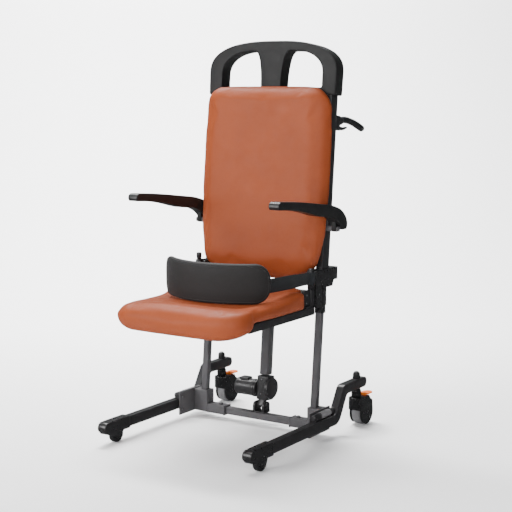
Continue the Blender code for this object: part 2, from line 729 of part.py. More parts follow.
    # Arm bracket: a foot on the upright, a bar to the pivot, and a pin with a nut under the armrest's arch.
    foot_low, foot_high = sorted((s * 0.2074, s * 0.2150))
    arm_bracket = leaning_box("arm_bracket_" + side, (foot_low, foot_high), (0.1205, 0.1540), 0.61, (0.5960, 0.6300), 0.0015)
    add(
        arm_bracket,
        c,
        rod("boss", "X", (s * 0.2195, *ARM_PIVOT), 0.0078, 0.0190, 14),
        rod("pin", "X", (s * 0.2390, *ARM_PIVOT), 0.0045, 0.0240, 12),
        rod("nut", "X", (s * 0.2470, *ARM_PIVOT), 0.0075, 0.0060, 6),
    )
    finish(arm_bracket, c, BLACK_PAINT)

    ARM_TOP = [(-0.2020, 0.6930), (-0.2000, 0.7000), (-0.1940, 0.7050), (-0.1800, 0.7060), (-0.0946, 0.6990), (-0.0420, 0.6930), (0.0120, 0.6860), (0.0670, 0.6790), (0.0960, 0.6730), (0.1250, 0.6645), (0.1410, 0.6560), (0.1540, 0.6460), (0.1640, 0.6340), (0.1695, 0.6210), (0.1680, 0.6080), (0.1620, 0.6015)]
    ARM_UNDER = [(0.1440, 0.6015), (0.1370, 0.6070), (0.1270, 0.6190), (0.1090, 0.6310), (0.0900, 0.6390), (0.0670, 0.6450), (0.0120, 0.6510), (-0.0680, 0.6690), (-0.1200, 0.6776), (-0.1600, 0.6820), (-0.1980, 0.6850)]
    armrest = outline("armrest_" + side, [ARM_TOP + ARM_UNDER], "X", (s * ARM_X, 0, 0), ARM_W, 0.004, 1, angle=50)
    ear = outline(
        "ear",
        [[(0.1180, 0.6350)] + arc(ARM_PIVOT, 0.0085, 185, 355, 8) + [(0.1420, 0.6200), (0.1420, 0.6350)]],
        "X",
        (s * 0.2365, 0, 0),
        0.0130,
    )
    add(armrest, "armrest_" + side, ear)
    cut(armrest, "armrest_" + side, rod("bore", "X", (s * 0.2390, *ARM_PIVOT), 0.0049, 0.0300, 12))
    finish(armrest, "armrest_" + side, BLACK_PLASTIC)

# Top handle: an arch with two D openings round a centre splat, closed by a low rail behind the cushion.
HANDLE_HALF = [
    (0.2165, 0.9860, 0.003),
    (0.2165, 1.0600, 0.030),
    (0.2000, 1.0960, 0.030),
    (0.1550, 1.1160, 0.05),
    (0.0860, 1.1290, 0.05),
]
handle_ring = fillet(HANDLE_HALF + [(0.0, 1.1350, 0.3)] + [(-x, z, r) for x, z, r in reversed(HANDLE_HALF)], 3)
opening = fillet(
    [
        (0.0350, 1.0030, 0.003),
        (0.0350, 1.0300, 0.02),
        (0.0420, 1.0780, 0.06),
        (0.0580, 1.1100, 0.006),
        (0.0970, 1.1060, 0.03),
        (0.1400, 1.0920, 0.03),
        (0.1740, 1.0600, 0.03),
        (0.1800, 1.0030, 0.003),
    ],
    4,
)
handle = outline("top_handle", [handle_ring], "Y", (0, 0, 0), 0.0450, 0.0035, 1, lean=LEAN, angle=50)
# The outline's own height runs up the lean, so it is slid until its height 1.0 meets the front line.
handle.location = (0, HANDLE_FRONT_AT_1 + 0.0225 * math.cos(LEAN) - math.sin(LEAN) * 1.0, 1.0 * (1 - math.cos(LEAN)))
for s, _ in SIDES:
    window = outline("opening", [[(s * x, z) for x, z in opening]], "Y", (0, 0, 0), 0.0900, lean=LEAN)
    window.location = handle.location
    socket = leaning_box("socket", (s * POST_X - 0.0123, s * POST_X + 0.0123), (UPRIGHT_Y - 0.0193, UPRIGHT_Y + 0.0193), UPRIGHT_Y_AT, (0.95, 1.0185))
    cut(handle, "carriage", window, socket)
finish(handle, "carriage", BLACK_PLASTIC)

# Back panel between the uprights, and the battery and control box on its rear face.
PANEL_FRONT, PANEL_AT = 0.1135, 0.52
panel = leaning_box("back_panel", (-0.1822, 0.1822), (PANEL_FRONT, PANEL_FRONT + 0.0080), PANEL_AT, (0.5000, 0.9820), 0.0015)
finish(panel, "carriage", BOARD)
control = leaning_box("control_box", (-0.0750, 0.0750), (PANEL_FRONT + 0.0083, PANEL_FRONT + 0.0583), PANEL_AT, (0.5300, 0.7200), 0.004, 2)
finish(control, "carriage", BLACK_PLASTIC)

# Back cushion: a closed pad with rounded corners, flat on the uprights' front faces.
BACK_HALF = [(0.1100, 0.4575, 0.25), (0.1900, 0.4900, 0.045), (0.2140, 0.5900, 0.2), (0.2185, 0.7200, 0.4), (0.2140, 0.8600, 0.3), (0.2060, 1.0020, 0.035)]
back_ring = fillet(BACK_HALF + [(-x, z, r) for x, z, r in reversed(BACK_HALF)], 3)
back = soften_front(outline("back_cushion", [back_ring], "Y", (0, 0, 0), 0.0500, lean=LEAN), 0.0440)
back.location = (0, 0.1507 - 0.0250 * math.cos(LEAN) - math.sin(LEAN) * 1.0, 1.0 * (1 - math.cos(LEAN)))
finish(back, "carriage", LEATHER)

# ------------------------------------------------------------------ seat
frame = box("seat_frame", (-0.2080, -0.2700, 0.3620), (0.2080, 0.0650, 0.3850), 0.0015)
cut(frame, "seat", box("inside", (-0.1900, -0.2520, 0.3500), (0.1900, 0.0470, 0.4000)))
finish(frame, "seat", BLACK_PAINT)
board = box("seat_board", (-0.2050, -0.2680, 0.3853), (0.2050, 0.0150, 0.3925), 0.0010)
finish(board, "seat", BOARD)

hx, hy = SEAT_HINGE
for s, name in ((1, "seat_hinge_leaf"), (-1, "seat_catch")):
    # A barrel round the pin's line, with a plate in front of it that stands on the frame's rail.
    leaf = rod(name, "Z", (s * hx, hy, 0.4110), 0.0105, 0.0480, 20)
    add(
        leaf,
        "seat",
        box("plate", (min(s * 0.1925, s * 0.2010), 0.0180, 0.3860), (max(s * 0.1925, s * 0.2010), 0.0640, 0.4345), 0.001),
        box("foot", (min(s * 0.1905, s * 0.2075), 0.0180, 0.3853), (max(s * 0.1905, s * 0.2075), 0.0530, 0.3900)),
    )
    cut(leaf, "seat", rod("bore", "Z", (s * hx, hy, 0.4110), 0.0044, 0.0800, 16))
    finish(leaf, "seat", BLACK_PAINT)
finish(
    turned("seat_hinge_pin", [(0, 0.4945), (0.0075, 0.4935), (0.0075, 0.4913), (0.0040, 0.4913), (0.0040, 0.3865), (0, 0.3865)], "Z", (hx, hy, 0), 16),
    "carriage",
    STEEL,
)
finish(
    turned(
        "seat_latch",
        [(0, 0.5120), (0.0070, 0.5110), (0.0080, 0.5080), (0.0080, 0.4990), (0.0060, 0.4913), (0.0040, 0.4913), (0.0040, 0.4225), (0.0030, 0.4200), (0, 0.4200)],
        "Z",
        (-hx, hy, 0),
        16,
    ),
    "latch",
    BLACK_PLASTIC,
)

# Seat cushion: a pad with a waterfall front that hangs in front of the frame, and cut-in rear corners at the hinge.
side_line = fillet(
    [
        (-0.2735, 0.3932),
        (-0.2760, 0.3560, 0.008),
        (-0.3040, 0.3450, 0.012),
        (-0.3440, 0.3640, 0.022),
        (-0.3420, 0.4120, 0.020),
        (-0.3150, 0.4205, 0.020),
        (-0.0900, 0.4190, 0.05),
        (0.0000, 0.4260, 0.05),
        (0.0540, 0.4260, 0.016),
        (0.0600, 0.3932, 0.006),
    ],
    4,
)
cushion = outline("seat_cushion", [side_line], "X", (0, 0, 0), 0.4600)
half_plan = [(0.2175, -0.3440, 0.060), (0.2190, -0.1500, 0.3), (0.2140, 0.0600, 0.030)]
plan = outline("plan", [fillet(half_plan + [(-x, y, r) for x, y, r in reversed(half_plan)], 4)], "Z", (0, 0, 0.40), 0.20)
boolean(cushion, plan, "INTERSECT", "seat")
for s, _ in SIDES:
    corner = outline(
        "corner",
        [[(s * 0.2400, 0.0900), (s * 0.1700, 0.0900)] + [(s * x, y) for x, y in ((0.1780, 0.0600), (0.1850, 0.0300), (0.1885, 0.0130), (0.2100, 0.0100), (0.2400, -0.0350))]],
        "Z",
        (0, 0, 0.42),
        0.10,
    )
    cut(cushion, "seat", corner)
soften(cushion, 0.016, 1, 50)
weld = cushion.modifiers.new("weld", "WELD")
weld.merge_threshold = 0.0006
finish(cushion, "seat", LEATHER)

# ------------------------------------------------------------------ belt
# The pad bows forward between two straps that turn about the seat's vertical hinge line.
PAD_Z = (0.4232, 0.5290)
BOW_R, BOW_Y = 0.236, 0.031  # the bow's radius, and the y of its centre
BOW_HALF = 49.0
outer = arc((0, BOW_Y), BOW_R, -90 - BOW_HALF, -90 + BOW_HALF, 14)
inside = arc((0, BOW_Y), BOW_R - 0.024, -90 + BOW_HALF, -90 - BOW_HALF, 14)
pad = outline("belt_pad", [outer + inside], "Z", (0, 0, sum(PAD_Z) / 2), PAD_Z[1] - PAD_Z[0])
shape = fillet([(-0.1785, PAD_Z[0], 0.045), (0.1785, PAD_Z[0], 0.045), (0.1785, PAD_Z[1], 0.045), (-0.1785, PAD_Z[1], 0.045)], 4)
front = outline("shape", [shape], "Y", (0, -0.14, 0), 0.30)
boolean(pad, front, "INTERSECT", "belt")
finish(pad, "belt", PAD_CLOTH)

STRAP_Z = (0.4492, 0.4842)
pad_end = arc((0, BOW_Y), BOW_R - 0.012, -90 + BOW_HALF, -90 + BOW_HALF, 1)[0]
for s, side in SIDES:
    # From the pad's end to a loop round the knuckle on the left, and to an open hook in front of it on the right.
    run = Vector((hx - pad_end[0], hy - pad_end[1])).normalized()
    start = tuple(Vector(pad_end) + run * 0.0022)
    over = Vector((run.y, -run.x))
    if s > 0:
        turn_at = Vector((hx, hy))
        outer_r, inner_r = 0.0127, 0.0104
        first = math.degrees(math.atan2(-run.y, -run.x))
        ring_out = arc(turn_at, outer_r, first + 12, first + 348, 18)
        base_a = Vector(start) + over * 0.0013
        base_b = Vector(start) - over * 0.0013
        strap = outline("belt_strap_left", [[tuple(base_b), tuple(base_a)] + ring_out], "Z", (0, 0, sum(STRAP_Z) / 2), STRAP_Z[1] - STRAP_Z[0])
        cut(strap, "belt", rod("loop", "Z", (hx, hy, sum(STRAP_Z) / 2), inner_r, 0.0600, 20))
    else:
        # Along the line to the knuckle's front, then a flat hook plate that hugs its front quarter.
        turn_at = Vector((-hx, hy))
        line_start = Vector((-start[0], start[1])) if start[0] > 0 else Vector(start)
        run_r = (turn_at - line_start).normalized()
        over_r = Vector((run_r.y, -run_r.x))
        reach = (turn_at - line_start).length
        hook_at = line_start + run_r * (reach - 0.0135)
        quad = [line_start + over_r * 0.0013, line_start - over_r * 0.0013, hook_at - over_r * 0.0013, hook_at + over_r * 0.0013]
        strap = outline("belt_strap_right", [[tuple(q) for q in quad]], "Z", (0, 0, sum(STRAP_Z) / 2), STRAP_Z[1] - STRAP_Z[0])
        hook_angle = math.degrees(math.atan2(-run_r.y, -run_r.x))
        hook = outline(
            "hook",
            [arc(turn_at, 0.0140, hook_angle - 55, hook_angle + 55, 8) + arc(turn_at, 0.0112, hook_angle + 55, hook_angle - 55, 8)],
            "Z",
            (0, 0, sum(STRAP_Z) / 2),
            0.0300,
        )
        add(strap, "belt", hook)
    finish(strap, "belt", WEBBING)

for obj in parts.objects:
    if obj.type == "MESH":
        obj.data.shade_smooth()
        obj.data.set_sharp_from_angle(angle=math.radians(35))
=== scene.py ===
"""Looks of the transfer chair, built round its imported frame. Metres, in the frame of the CAD model."""

import math

import bmesh
import bpy
from mathutils import Matrix, Vector, noise


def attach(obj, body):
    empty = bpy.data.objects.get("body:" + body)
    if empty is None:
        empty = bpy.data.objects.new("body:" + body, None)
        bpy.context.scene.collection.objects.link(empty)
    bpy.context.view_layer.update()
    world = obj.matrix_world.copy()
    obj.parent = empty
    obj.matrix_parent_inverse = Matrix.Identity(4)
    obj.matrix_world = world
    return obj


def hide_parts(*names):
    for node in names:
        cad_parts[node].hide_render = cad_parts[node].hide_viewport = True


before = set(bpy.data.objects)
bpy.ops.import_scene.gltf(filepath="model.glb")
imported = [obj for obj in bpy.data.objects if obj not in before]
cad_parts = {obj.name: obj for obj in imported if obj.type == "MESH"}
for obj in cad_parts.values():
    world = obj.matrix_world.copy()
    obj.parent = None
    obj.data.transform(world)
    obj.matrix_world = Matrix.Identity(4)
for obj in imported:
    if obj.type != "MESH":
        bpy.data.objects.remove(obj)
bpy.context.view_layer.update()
scene = bpy.context.scene

# ------------------------------------------------------------------ the CAD model's dimensions, repeated
SHIFT = Vector((0, -0.0090, 0))
LEAN_SLOPE = 0.092
LEAN = math.atan(LEAN_SLOPE)
TRACK_X, POST_X, POST_SIDE = 0.2456, 0.195, 0.020
UPRIGHT_W, UPRIGHT_D = 0.024, 0.038
LEG_W = 0.024
HINGE_X, HINGE_Z, HINGE_R = 0.2415, 0.075, 0.0095
STEM_Y = 0.2485
REAR_R, REAR_Y = 0.0375, 0.276
WHEEL_SHIFT = 0.0028
FRONT_R, FRONT_Y = 0.024, -0.280
SEAT_HINGE = (0.1965, 0.062)
ARM_X, ARM_W = 0.2375, 0.034
ARM_PIVOT = (0.1272, 0.6045)
GAP = 0.0003
SIDES = ((1, "left"), (-1, "right"))


# ------------------------------------------------------------------ materials
class Look:
    """A node material, with short calls for the nodes that it uses."""

    def __init__(self, name, rough=0.45, metal=0.0, specular=0.5):
        self.material = bpy.data.materials.new(name)
        self.material.use_nodes = True
        self.tree = self.material.node_tree
        self.shader = self.tree.nodes["Principled BSDF"]
        self.shader.inputs["Roughness"].default_value = rough
        self.shader.inputs["Metallic"].default_value = metal
        self.shader.inputs["Specular IOR Level"].default_value = specular
        self.place = self.tree.nodes.new("ShaderNodeTexCoord").outputs["Object"]
        self.normal = None

    def node(self, kind, **values):
        made = self.tree.nodes.new("ShaderNode" + kind)
        for key, value in values.items():
            setattr(made, key, value)
        return made

    def wire(self, target, value):
        if isinstance(value, bpy.types.NodeSocket):
            self.tree.links.new(value, target)
        else:
            target.default_value = value

    def stretched(self, scale, turn=(0, 0, 0)):
        mapping = self.node("Mapping")
        self.wire(mapping.inputs["Vector"], self.place)
        mapping.inputs["Scale"].default_value = scale
        mapping.inputs["Rotation"].default_value = turn
        return mapping.outputs["Vector"]

    def noise(self, scale, detail=2.0, rough=0.5, distortion=0.0, place=None):
        made = self.node("TexNoise")
        self.wire(made.inputs["Vector"], place or self.place)
        made.inputs["Scale"].default_value = scale
        made.inputs["Detail"].default_value = detail
        made.inputs["Roughness"].default_value = rough
        made.inputs["Distortion"].default_value = distortion
        return made.outputs["Fac"]

    def cells(self, scale, feature="DISTANCE_TO_EDGE", place=None):
        made = self.node("TexVoronoi", feature=feature)
        self.wire(made.inputs["Vector"], place or self.place)
        made.inputs["Scale"].default_value = scale
        return made.outputs["Distance"]

    def bands(self, scale, direction="X", distortion=0.0, place=None, profile="SIN"):
        made = self.node("TexWave", wave_type="BANDS", bands_direction=direction, wave_profile=profile)
        self.wire(made.inputs["Vector"], place or self.place)
        made.inputs["Scale"].default_value = scale
        made.inputs["Distortion"].default_value = distortion
        return made.outputs["Fac"]

    def spread(self, value, low, high, from_low=0.0, from_high=1.0):
        made = self.node("MapRange")
        self.wire(made.inputs["Value"], value)
        made.inputs["From Min"].default_value = from_low
        made.inputs["From Max"].default_value = from_high
        made.inputs["To Min"].default_value = low
        made.inputs["To Max"].default_value = high
        return made.outputs["Result"]

    def sum(self, a, b, operation="ADD"):
        made = self.node("Math", operation=operation)
        self.wire(made.inputs[0], a)
        self.wire(made.inputs[1], b)
        return made.outputs["Value"]

    def mix(self, share, a, b, blend="MIX"):
        made = self.node("Mix", data_type="RGBA", blend_type=blend)
        self.wire(made.inputs[0], share)
        self.wire(made.inputs[6], a if isinstance(a, bpy.types.NodeSocket) else (*a, 1))
        self.wire(made.inputs[7], b if isinstance(b, bpy.types.NodeSocket) else (*b, 1))
        return made.outputs[2]

    def colour(self, value):
        self.wire(self.shader.inputs["Base Color"], value)
        return self

    def rough(self, value):
        self.wire(self.shader.inputs["Roughness"], value)
        return self

    def bump(self, height, depth, strength=1.0):
        """Depth is the real height of the relief, in metres."""
        made = self.node("Bump")
        made.inputs["Strength"].default_value = strength
        made.inputs["Distance"].default_value = depth
        self.wire(made.inputs["Height"], height)
        if self.normal:
            self.wire(made.inputs["Normal"], self.normal)
        self.normal = made.outputs["Normal"]
        self.wire(self.shader.inputs["Normal"], self.normal)
        return self


def tint(colour, factor):
    return tuple(min(1.0, c * factor) for c in colour)


def paint(name, colour, rough=0.36, specular=0.3):
    """Powder coat: a fine orange peel, slightly uneven gloss, and a little dust in its tone."""
    look = Look(name, rough, 0.0, specular)
    broad = look.noise(9.0, 3.0, 0.6)
    fine = look.noise(620.0, 1.0, 0.5)
    look.colour(look.mix(look.spread(broad, 0.0, 1.0, 0.3, 0.7), tint(colour, 0.86), tint(colour, 1.14)))
    look.rough(look.spread(look.noise(60.0, 3.0, 0.6), rough - 0.06, rough + 0.08, 0.3, 0.7))
    return look.bump(fine, 0.00008, 0.5)


def plastic(name, colour, rough=0.42, grain=1500.0, depth=0.00006, specular=0.3):
    """Moulded plastic with a spark-eroded grain."""
    look = Look(name, rough, 0.0, specular)
    broad = look.noise(14.0, 2.0, 0.5)
    look.colour(look.mix(look.spread(broad, 0.0, 1.0, 0.3, 0.7), tint(colour, 0.9), tint(colour, 1.1)))
    look.rough(look.spread(look.noise(90.0, 2.0, 0.5), rough - 0.05, rough + 0.06, 0.3, 0.7))
    look.bump(look.cells(grain, "F1"), depth, 0.5)
    return look


def rubber(name, colour, rough=0.6):
    look = Look(name, rough, 0.0, 0.4)
    look.colour(look.mix(look.spread(look.noise(35.0, 4.0, 0.6), 0.0, 1.0, 0.35, 0.65), tint(colour, 0.82), tint(colour, 1.15)))
    look.rough(look.spread(look.noise(120.0, 3.0, 0.6), rough - 0.08, rough + 0.1, 0.3, 0.7))
    look.bump(look.noise(900.0, 2.0, 0.6), 0.00008, 0.4)
    return look


def steel(name, colour=(0.52, 0.52, 0.53), rough=0.26, along=(300.0, 300.0, 8.0)):
    look = Look(name, rough, 1.0)
    lines = look.noise(1.0, 2.0, 0.6, place=look.stretched(along))
    look.colour(look.mix(look.spread(lines, 0.0, 1.0, 0.3, 0.7), tint(colour, 0.85), tint(colour, 1.1)))
    look.rough(look.spread(lines, rough - 0.06, rough + 0.1, 0.3, 0.7))
    look.bump(lines, 0.00003, 0.3)
    return look


def leather(name, colour):
    """Smooth coated upholstery: fine pebble grain, pores, slow changes of tone, and soft creases."""
    look = Look(name, 0.5, 0.0, 0.14)
    tone = look.noise(5.5, 4.0, 0.55)
    spots = look.noise(140.0, 3.0, 0.6)
    base = look.mix(look.spread(tone, 0.0, 1.0, 0.32, 0.68), tint(colour, 0.93), tint(colour, 1.06))
    base = look.mix(look.spread(spots, 0.0, 0.10, 0.45, 0.7), base, tint(colour, 0.6))
    pebble = look.cells(820.0)
    base = look.mix(look.spread(pebble, 0.16, 0.0, 0.0, 0.12), base, tint(colour, 0.55))
    look.colour(base)
    look.rough(look.spread(look.noise(45.0, 4.0, 0.6), 0.38, 0.54, 0.3, 0.7))
    look.bump(look.noise(16.0, 3.0, 0.5, 0.6), 0.0006, 0.25)
    look.bump(look.spread(pebble, 0.0, 1.0, 0.0, 0.25), 0.00010, 0.55)
    look.bump(look.noise(2600.0, 1.0, 0.5), 0.00004, 0.4)
    return look


def webbing(name, colour):
    """Woven strap: ribs across its length, fine herringbone threads, darker gaps between them."""
    look = Look(name, 0.75, 0.0, 0.15)
    ribs = look.bands(260.0, "Y", 0.15)
    threads = look.bands(420.0, "Z", 0.4)
    weave = look.sum(ribs, look.sum(threads, 0.45, "MULTIPLY"))
    fuzz = look.noise(700.0, 2.0, 0.6)
    base = look.mix(look.spread(weave, 0.0, 1.0, 0.2, 1.2), tint(colour, 0.55), tint(colour, 1.35))
    look.colour(look.mix(look.spread(fuzz, 0.0, 0.25, 0.4, 0.7), base, tint(colour, 1.9)))
    look.rough(look.spread(fuzz, 0.68, 0.86))
    look.bump(weave, 0.00022, 0.7)
    look.shader.inputs["Sheen Weight"].default_value = 0.06
    look.shader.inputs["Sheen Roughness"].default_value = 0.5
    return look


def pad_cloth(name, colour):
    """Close-knit cover over foam: a fine square knit with a slight nap."""
    look = Look(name, 0.62, 0.0, 0.18)
    across, up = look.bands(330.0, "X", 0.5), look.bands(330.0, "Z", 0.5)
    knit = look.sum(across, up, "MULTIPLY")
    tone = look.noise(7.0, 3.0, 0.6)
    base = look.mix(look.spread(tone, 0.0, 1.0, 0.3, 0.7), tint(colour, 0.88), tint(colour, 1.12))
    look.colour(look.mix(look.spread(knit, 0.22, 0.0, 0.0, 0.6), base, tint(colour, 0.5)))
    look.rough(look.spread(look.noise(300.0, 2.0, 0.6), 0.52, 0.68, 0.3, 0.7))
    look.bump(knit, 0.00012, 0.6)
    look.bump(look.noise(20.0, 3.0, 0.5, 0.4), 0.0005, 0.25)
    look.shader.inputs["Sheen Weight"].default_value = 0.04
    look.shader.inputs["Sheen Roughness"].default_value = 0.45
    return look


ORANGE_BROWN = (0.264, 0.0568, 0.0192)
LOOKS = {
    "black_paint": paint("black_paint", (0.0175, 0.0170, 0.0181), 0.34, 0.42),
    "charcoal_paint": paint("charcoal_paint", (0.074, 0.0718, 0.0755), 0.46, 0.14),
    "black_plastic": plastic("black_plastic", (0.0145, 0.0143, 0.0149), 0.30, 1500.0, 0.00003, 0.42),
    "handle_plastic": plastic("handle_plastic", (0.0205, 0.0205, 0.0207), 0.44, 1100.0, 0.00007, 0.08),
    "charcoal_plastic": plastic("charcoal_plastic", (0.026, 0.0255, 0.0265), 0.32, 1500.0, 0.00001, 0.25),
    "arm_plastic": plastic("arm_plastic", (0.0150, 0.0150, 0.0153), 0.36, 1900.0, 0.00003, 0.30),
    "grey_casting": paint("grey_casting", (0.150, 0.147, 0.152), 0.38, 0.35),
    "gloss_black": plastic("gloss_black", (0.0095, 0.0095, 0.0098), 0.22, 2200.0, 0.00001, 0.45),
    "steel": steel("steel"),
    "dark_steel": steel("dark_steel", (0.16, 0.16, 0.165), 0.3),
    "zinc": steel("zinc", (0.72, 0.73, 0.74), 0.22, (120.0, 120.0, 120.0)),
    "black_tread": rubber("black_tread", (0.014, 0.014, 0.0145), 0.48),
    "grey_tread": rubber("grey_tread", (0.115, 0.114, 0.118), 0.42),
    "orange_brown_leather": leather("orange_brown_leather", ORANGE_BROWN),
    "orange_plastic": plastic("orange_plastic", (0.86, 0.17, 0.012), 0.38),
    "webbing": webbing("webbing", (0.0185, 0.0205, 0.0230)),
    "belt_cloth": pad_cloth("belt_cloth", (0.0205, 0.0197, 0.0200)),
    "piping": pad_cloth("piping", (0.015, 0.0145, 0.015)),
    "thread": rubber("thread", (0.30, 0.085, 0.035), 0.7),
    "dark_thread": rubber("dark_thread", (0.035, 0.035, 0.036), 0.7),
    "panel_board": plastic("panel_board", (0.020, 0.020, 0.021), 0.5, 900.0, 0.0001),
}

# ------------------------------------------------------------------ helpers that make shapes in design coordinates
bench = bpy.data.collections.new("bench")
scene.collection.children.link(bench)
CUTTERS = []


def from_bmesh(name, bm):
    bmesh.ops.recalc_face_normals(bm, faces=bm.faces)
    mesh = bpy.data.meshes.new(name)
    bm.to_mesh(mesh)
    bm.free()
    obj = bpy.data.objects.new(name, mesh)
    bench.objects.link(obj)
    return obj


def soften(obj, width, segments=3, angle=35, profile=0.5):
    if width:
        bevel = obj.modifiers.new("rounded edges", "BEVEL")
        bevel.width = width
        bevel.segments = segments
        bevel.limit_method = "ANGLE"
        bevel.angle_limit = math.radians(angle)
        bevel.use_clamp_overlap = True
        bevel.profile = profile
    return obj


def box(name, low, high, bevel=0.0, segments=3):
    low, high = Vector(low), Vector(high)
    bm = bmesh.new()
    bmesh.ops.create_cube(bm, size=1)
    bmesh.ops.scale(bm, vec=high - low, verts=bm.verts)
    obj = from_bmesh(name, bm)
    obj.location = (low + high) / 2
    return soften(obj, bevel, segments)


def lean_y(y, z, z_of_y):
    return y + LEAN_SLOPE * (z - z_of_y)


def leaning_box(name, xs, ys, z_of_ys, zs, bevel=0.0, segments=3):
    middle = (zs[0] + zs[1]) / 2
    bm = bmesh.new()
    bmesh.ops.create_cube(bm, size=1)
    size = (abs(xs[1] - xs[0]), (ys[1] - ys[0]) * math.cos(LEAN), (zs[1] - zs[0]) / math.cos(LEAN))
    bmesh.ops.scale(bm, vec=size, verts=bm.verts)
    obj = from_bmesh(name, bm)
    obj.location = ((xs[0] + xs[1]) / 2, lean_y((ys[0] + ys[1]) / 2, middle, z_of_ys), middle)
    obj.rotation_euler = (-LEAN, 0, 0)
    return soften(obj, bevel, segments)


TURN = {"X": (0, math.pi / 2, 0), "Y": (math.pi / 2, 0, 0), "Z": (0, 0, 0)}


def rod(name, axis, centre, radius, length, segments=48, bevel=0.0, steps=3):
    bm = bmesh.new()
    bmesh.ops.create_cone(bm, cap_ends=True, segments=segments, radius1=radius, radius2=radius, depth=length)
    obj = from_bmesh(name, bm)
    obj.location = centre
    obj.rotation_euler = TURN[axis]
    return soften(obj, bevel, steps, angle=60)


def turned(name, profile, axis, centre, steps=64, ring=False):
    """A turned piece: (radius, height) points down its outer side, from top to bottom, about an axis."""
    bm = bmesh.new()
    rows = []
    for r, h in profile:
        if r < 1e-6:
            rows.append([bm.verts.new((0, 0, h))] * steps)
        else:
            rows.append([bm.verts.new((r * math.cos(2 * math.pi * k / steps), r * math.sin(2 * math.pi * k / steps), h)) for k in range(steps)])
    pairs = list(zip(rows, rows[1:])) + ([(rows[-1], rows[0])] if ring else [])
    for upper, lower in pairs:
        for k in range(steps):
            corners = []
            for vert in (upper[k], lower[k], lower[(k + 1) % steps], upper[(k + 1) % steps]):
                if vert not in corners:
                    corners.append(vert)
            if len(corners) > 2:
                bm.faces.new(corners)
    obj = from_bmesh(name, bm)
    obj.location = centre
    obj.rotation_euler = TURN[axis]
    return obj


def fillet(corners, steps=8):
    flat = [Vector(c[:2]) for c in corners]
    radii = [c[2] if len(c) > 2 else 0 for c in corners]
    made = []
    for i, (corner, radius) in enumerate(zip(flat, radii)):
        before, after = flat[i - 1], flat[(i + 1) % len(flat)]
        if radius <= 0:
            made.append(tuple(corner))
            continue
        to_before = (before - corner).normalized()
        to_after = (after - corner).normalized()
        half = to_before.angle(to_after) / 2
        reach = radius / math.tan(half)
        centre = corner + (to_before + to_after).normalized() * (radius / math.sin(half))
        start, end = corner + to_before * reach - centre, corner + to_after * reach - centre
        sweep = math.atan2(start.x * end.y - start.y * end.x, start.dot(end))
        for k in range(steps + 1):
            a = sweep * k / steps
            made.append((centre.x + start.x * math.cos(a) - start.y * math.sin(a), centre.y + start.x * math.sin(a) + start.y * math.cos(a)))
    return made


def arc(centre, radius, first, last, steps):
    return [
        (
            centre[0] + radius * math.cos(math.radians(first + (last - first) * k / steps)),
            centre[1] + radius * math.sin(math.radians(first + (last - first) * k / steps)),
        )
        for k in range(steps + 1)
    ]


def smooth_line(points, steps=4, closed=True):
    """A smooth line through the points."""
    count = len(points)
    made = []
    for i in range(count if closed else count - 1):
        if closed:
            p = [Vector(points[(i + k) % count]) for k in (-1, 0, 1, 2)]
        else:
            p = [Vector(points[min(max(i + k, 0), count - 1)]) for k in (-1, 0, 1, 2)]
        for k in range(steps):
            t = k / steps
            made.append(
                tuple(
                    0.5 * (2 * p[1] + (p[2] - p[0]) * t + (2 * p[0] - 5 * p[1] + 4 * p[2] - p[3]) * t * t + (3 * p[1] - p[0] - 3 * p[2] + p[3]) * t**3)
                )
            )
    if not closed:
        made.append(tuple(points[-1]))
    return made


def to_mesh(obj):
    bpy.context.view_layer.update()
    graph = bpy.context.evaluated_depsgraph_get()
    mesh = bpy.data.meshes.new_from_object(obj.evaluated_get(graph))
    bm = bmesh.new()
    bm.from_mesh(mesh)
    bmesh.ops.remove_doubles(bm, verts=bm.verts, dist=0.000005)
    bmesh.ops.dissolve_limit(bm, angle_limit=math.radians(0.5), verts=bm.verts, edges=bm.edges)
    bmesh.ops.recalc_face_normals(bm, faces=bm.faces)
    bm.to_mesh(mesh)
    bm.free()
    name, place, turn = obj.name, obj.location.copy(), obj.rotation_euler.copy()
    curve = obj.data
    bpy.data.objects.remove(obj, do_unlink=True)
    bpy.data.curves.remove(curve)
    made = bpy.data.objects.new(name, mesh)
    made.location, made.rotation_euler = place, turn
    bench.objects.link(made)
    return made


def outline(name, rings, facing, centre, thickness, bevel=0.0, segments=3, lean=0.0, angle=35):
    """A flat outline with its thickness. facing X takes (y, z) points, Y takes (x, z) and Z takes (x, y)."""
    curve = bpy.data.curves.new(name, "CURVE")
    curve.dimensions = "2D"
    curve.fill_mode = "BOTH"
    curve.extrude = thickness / 2
    for ring in rings:
        spline = curve.splines.new("POLY")
        spline.points.add(len(ring) - 1)
        for point, (a, b) in zip(spline.points, ring):
            point.co = (a, b, 0, 1)
        spline.use_cyclic_u = True
    obj = bpy.data.objects.new(name, curve)
    bench.objects.link(obj)
    obj.location = centre
    obj.rotation_euler = {"X": (math.pi / 2, 0, math.pi / 2), "Y": (math.pi / 2 - lean, 0, 0), "Z": (0, 0, 0)}[facing]
    return soften(to_mesh(obj), bevel, segments, angle)


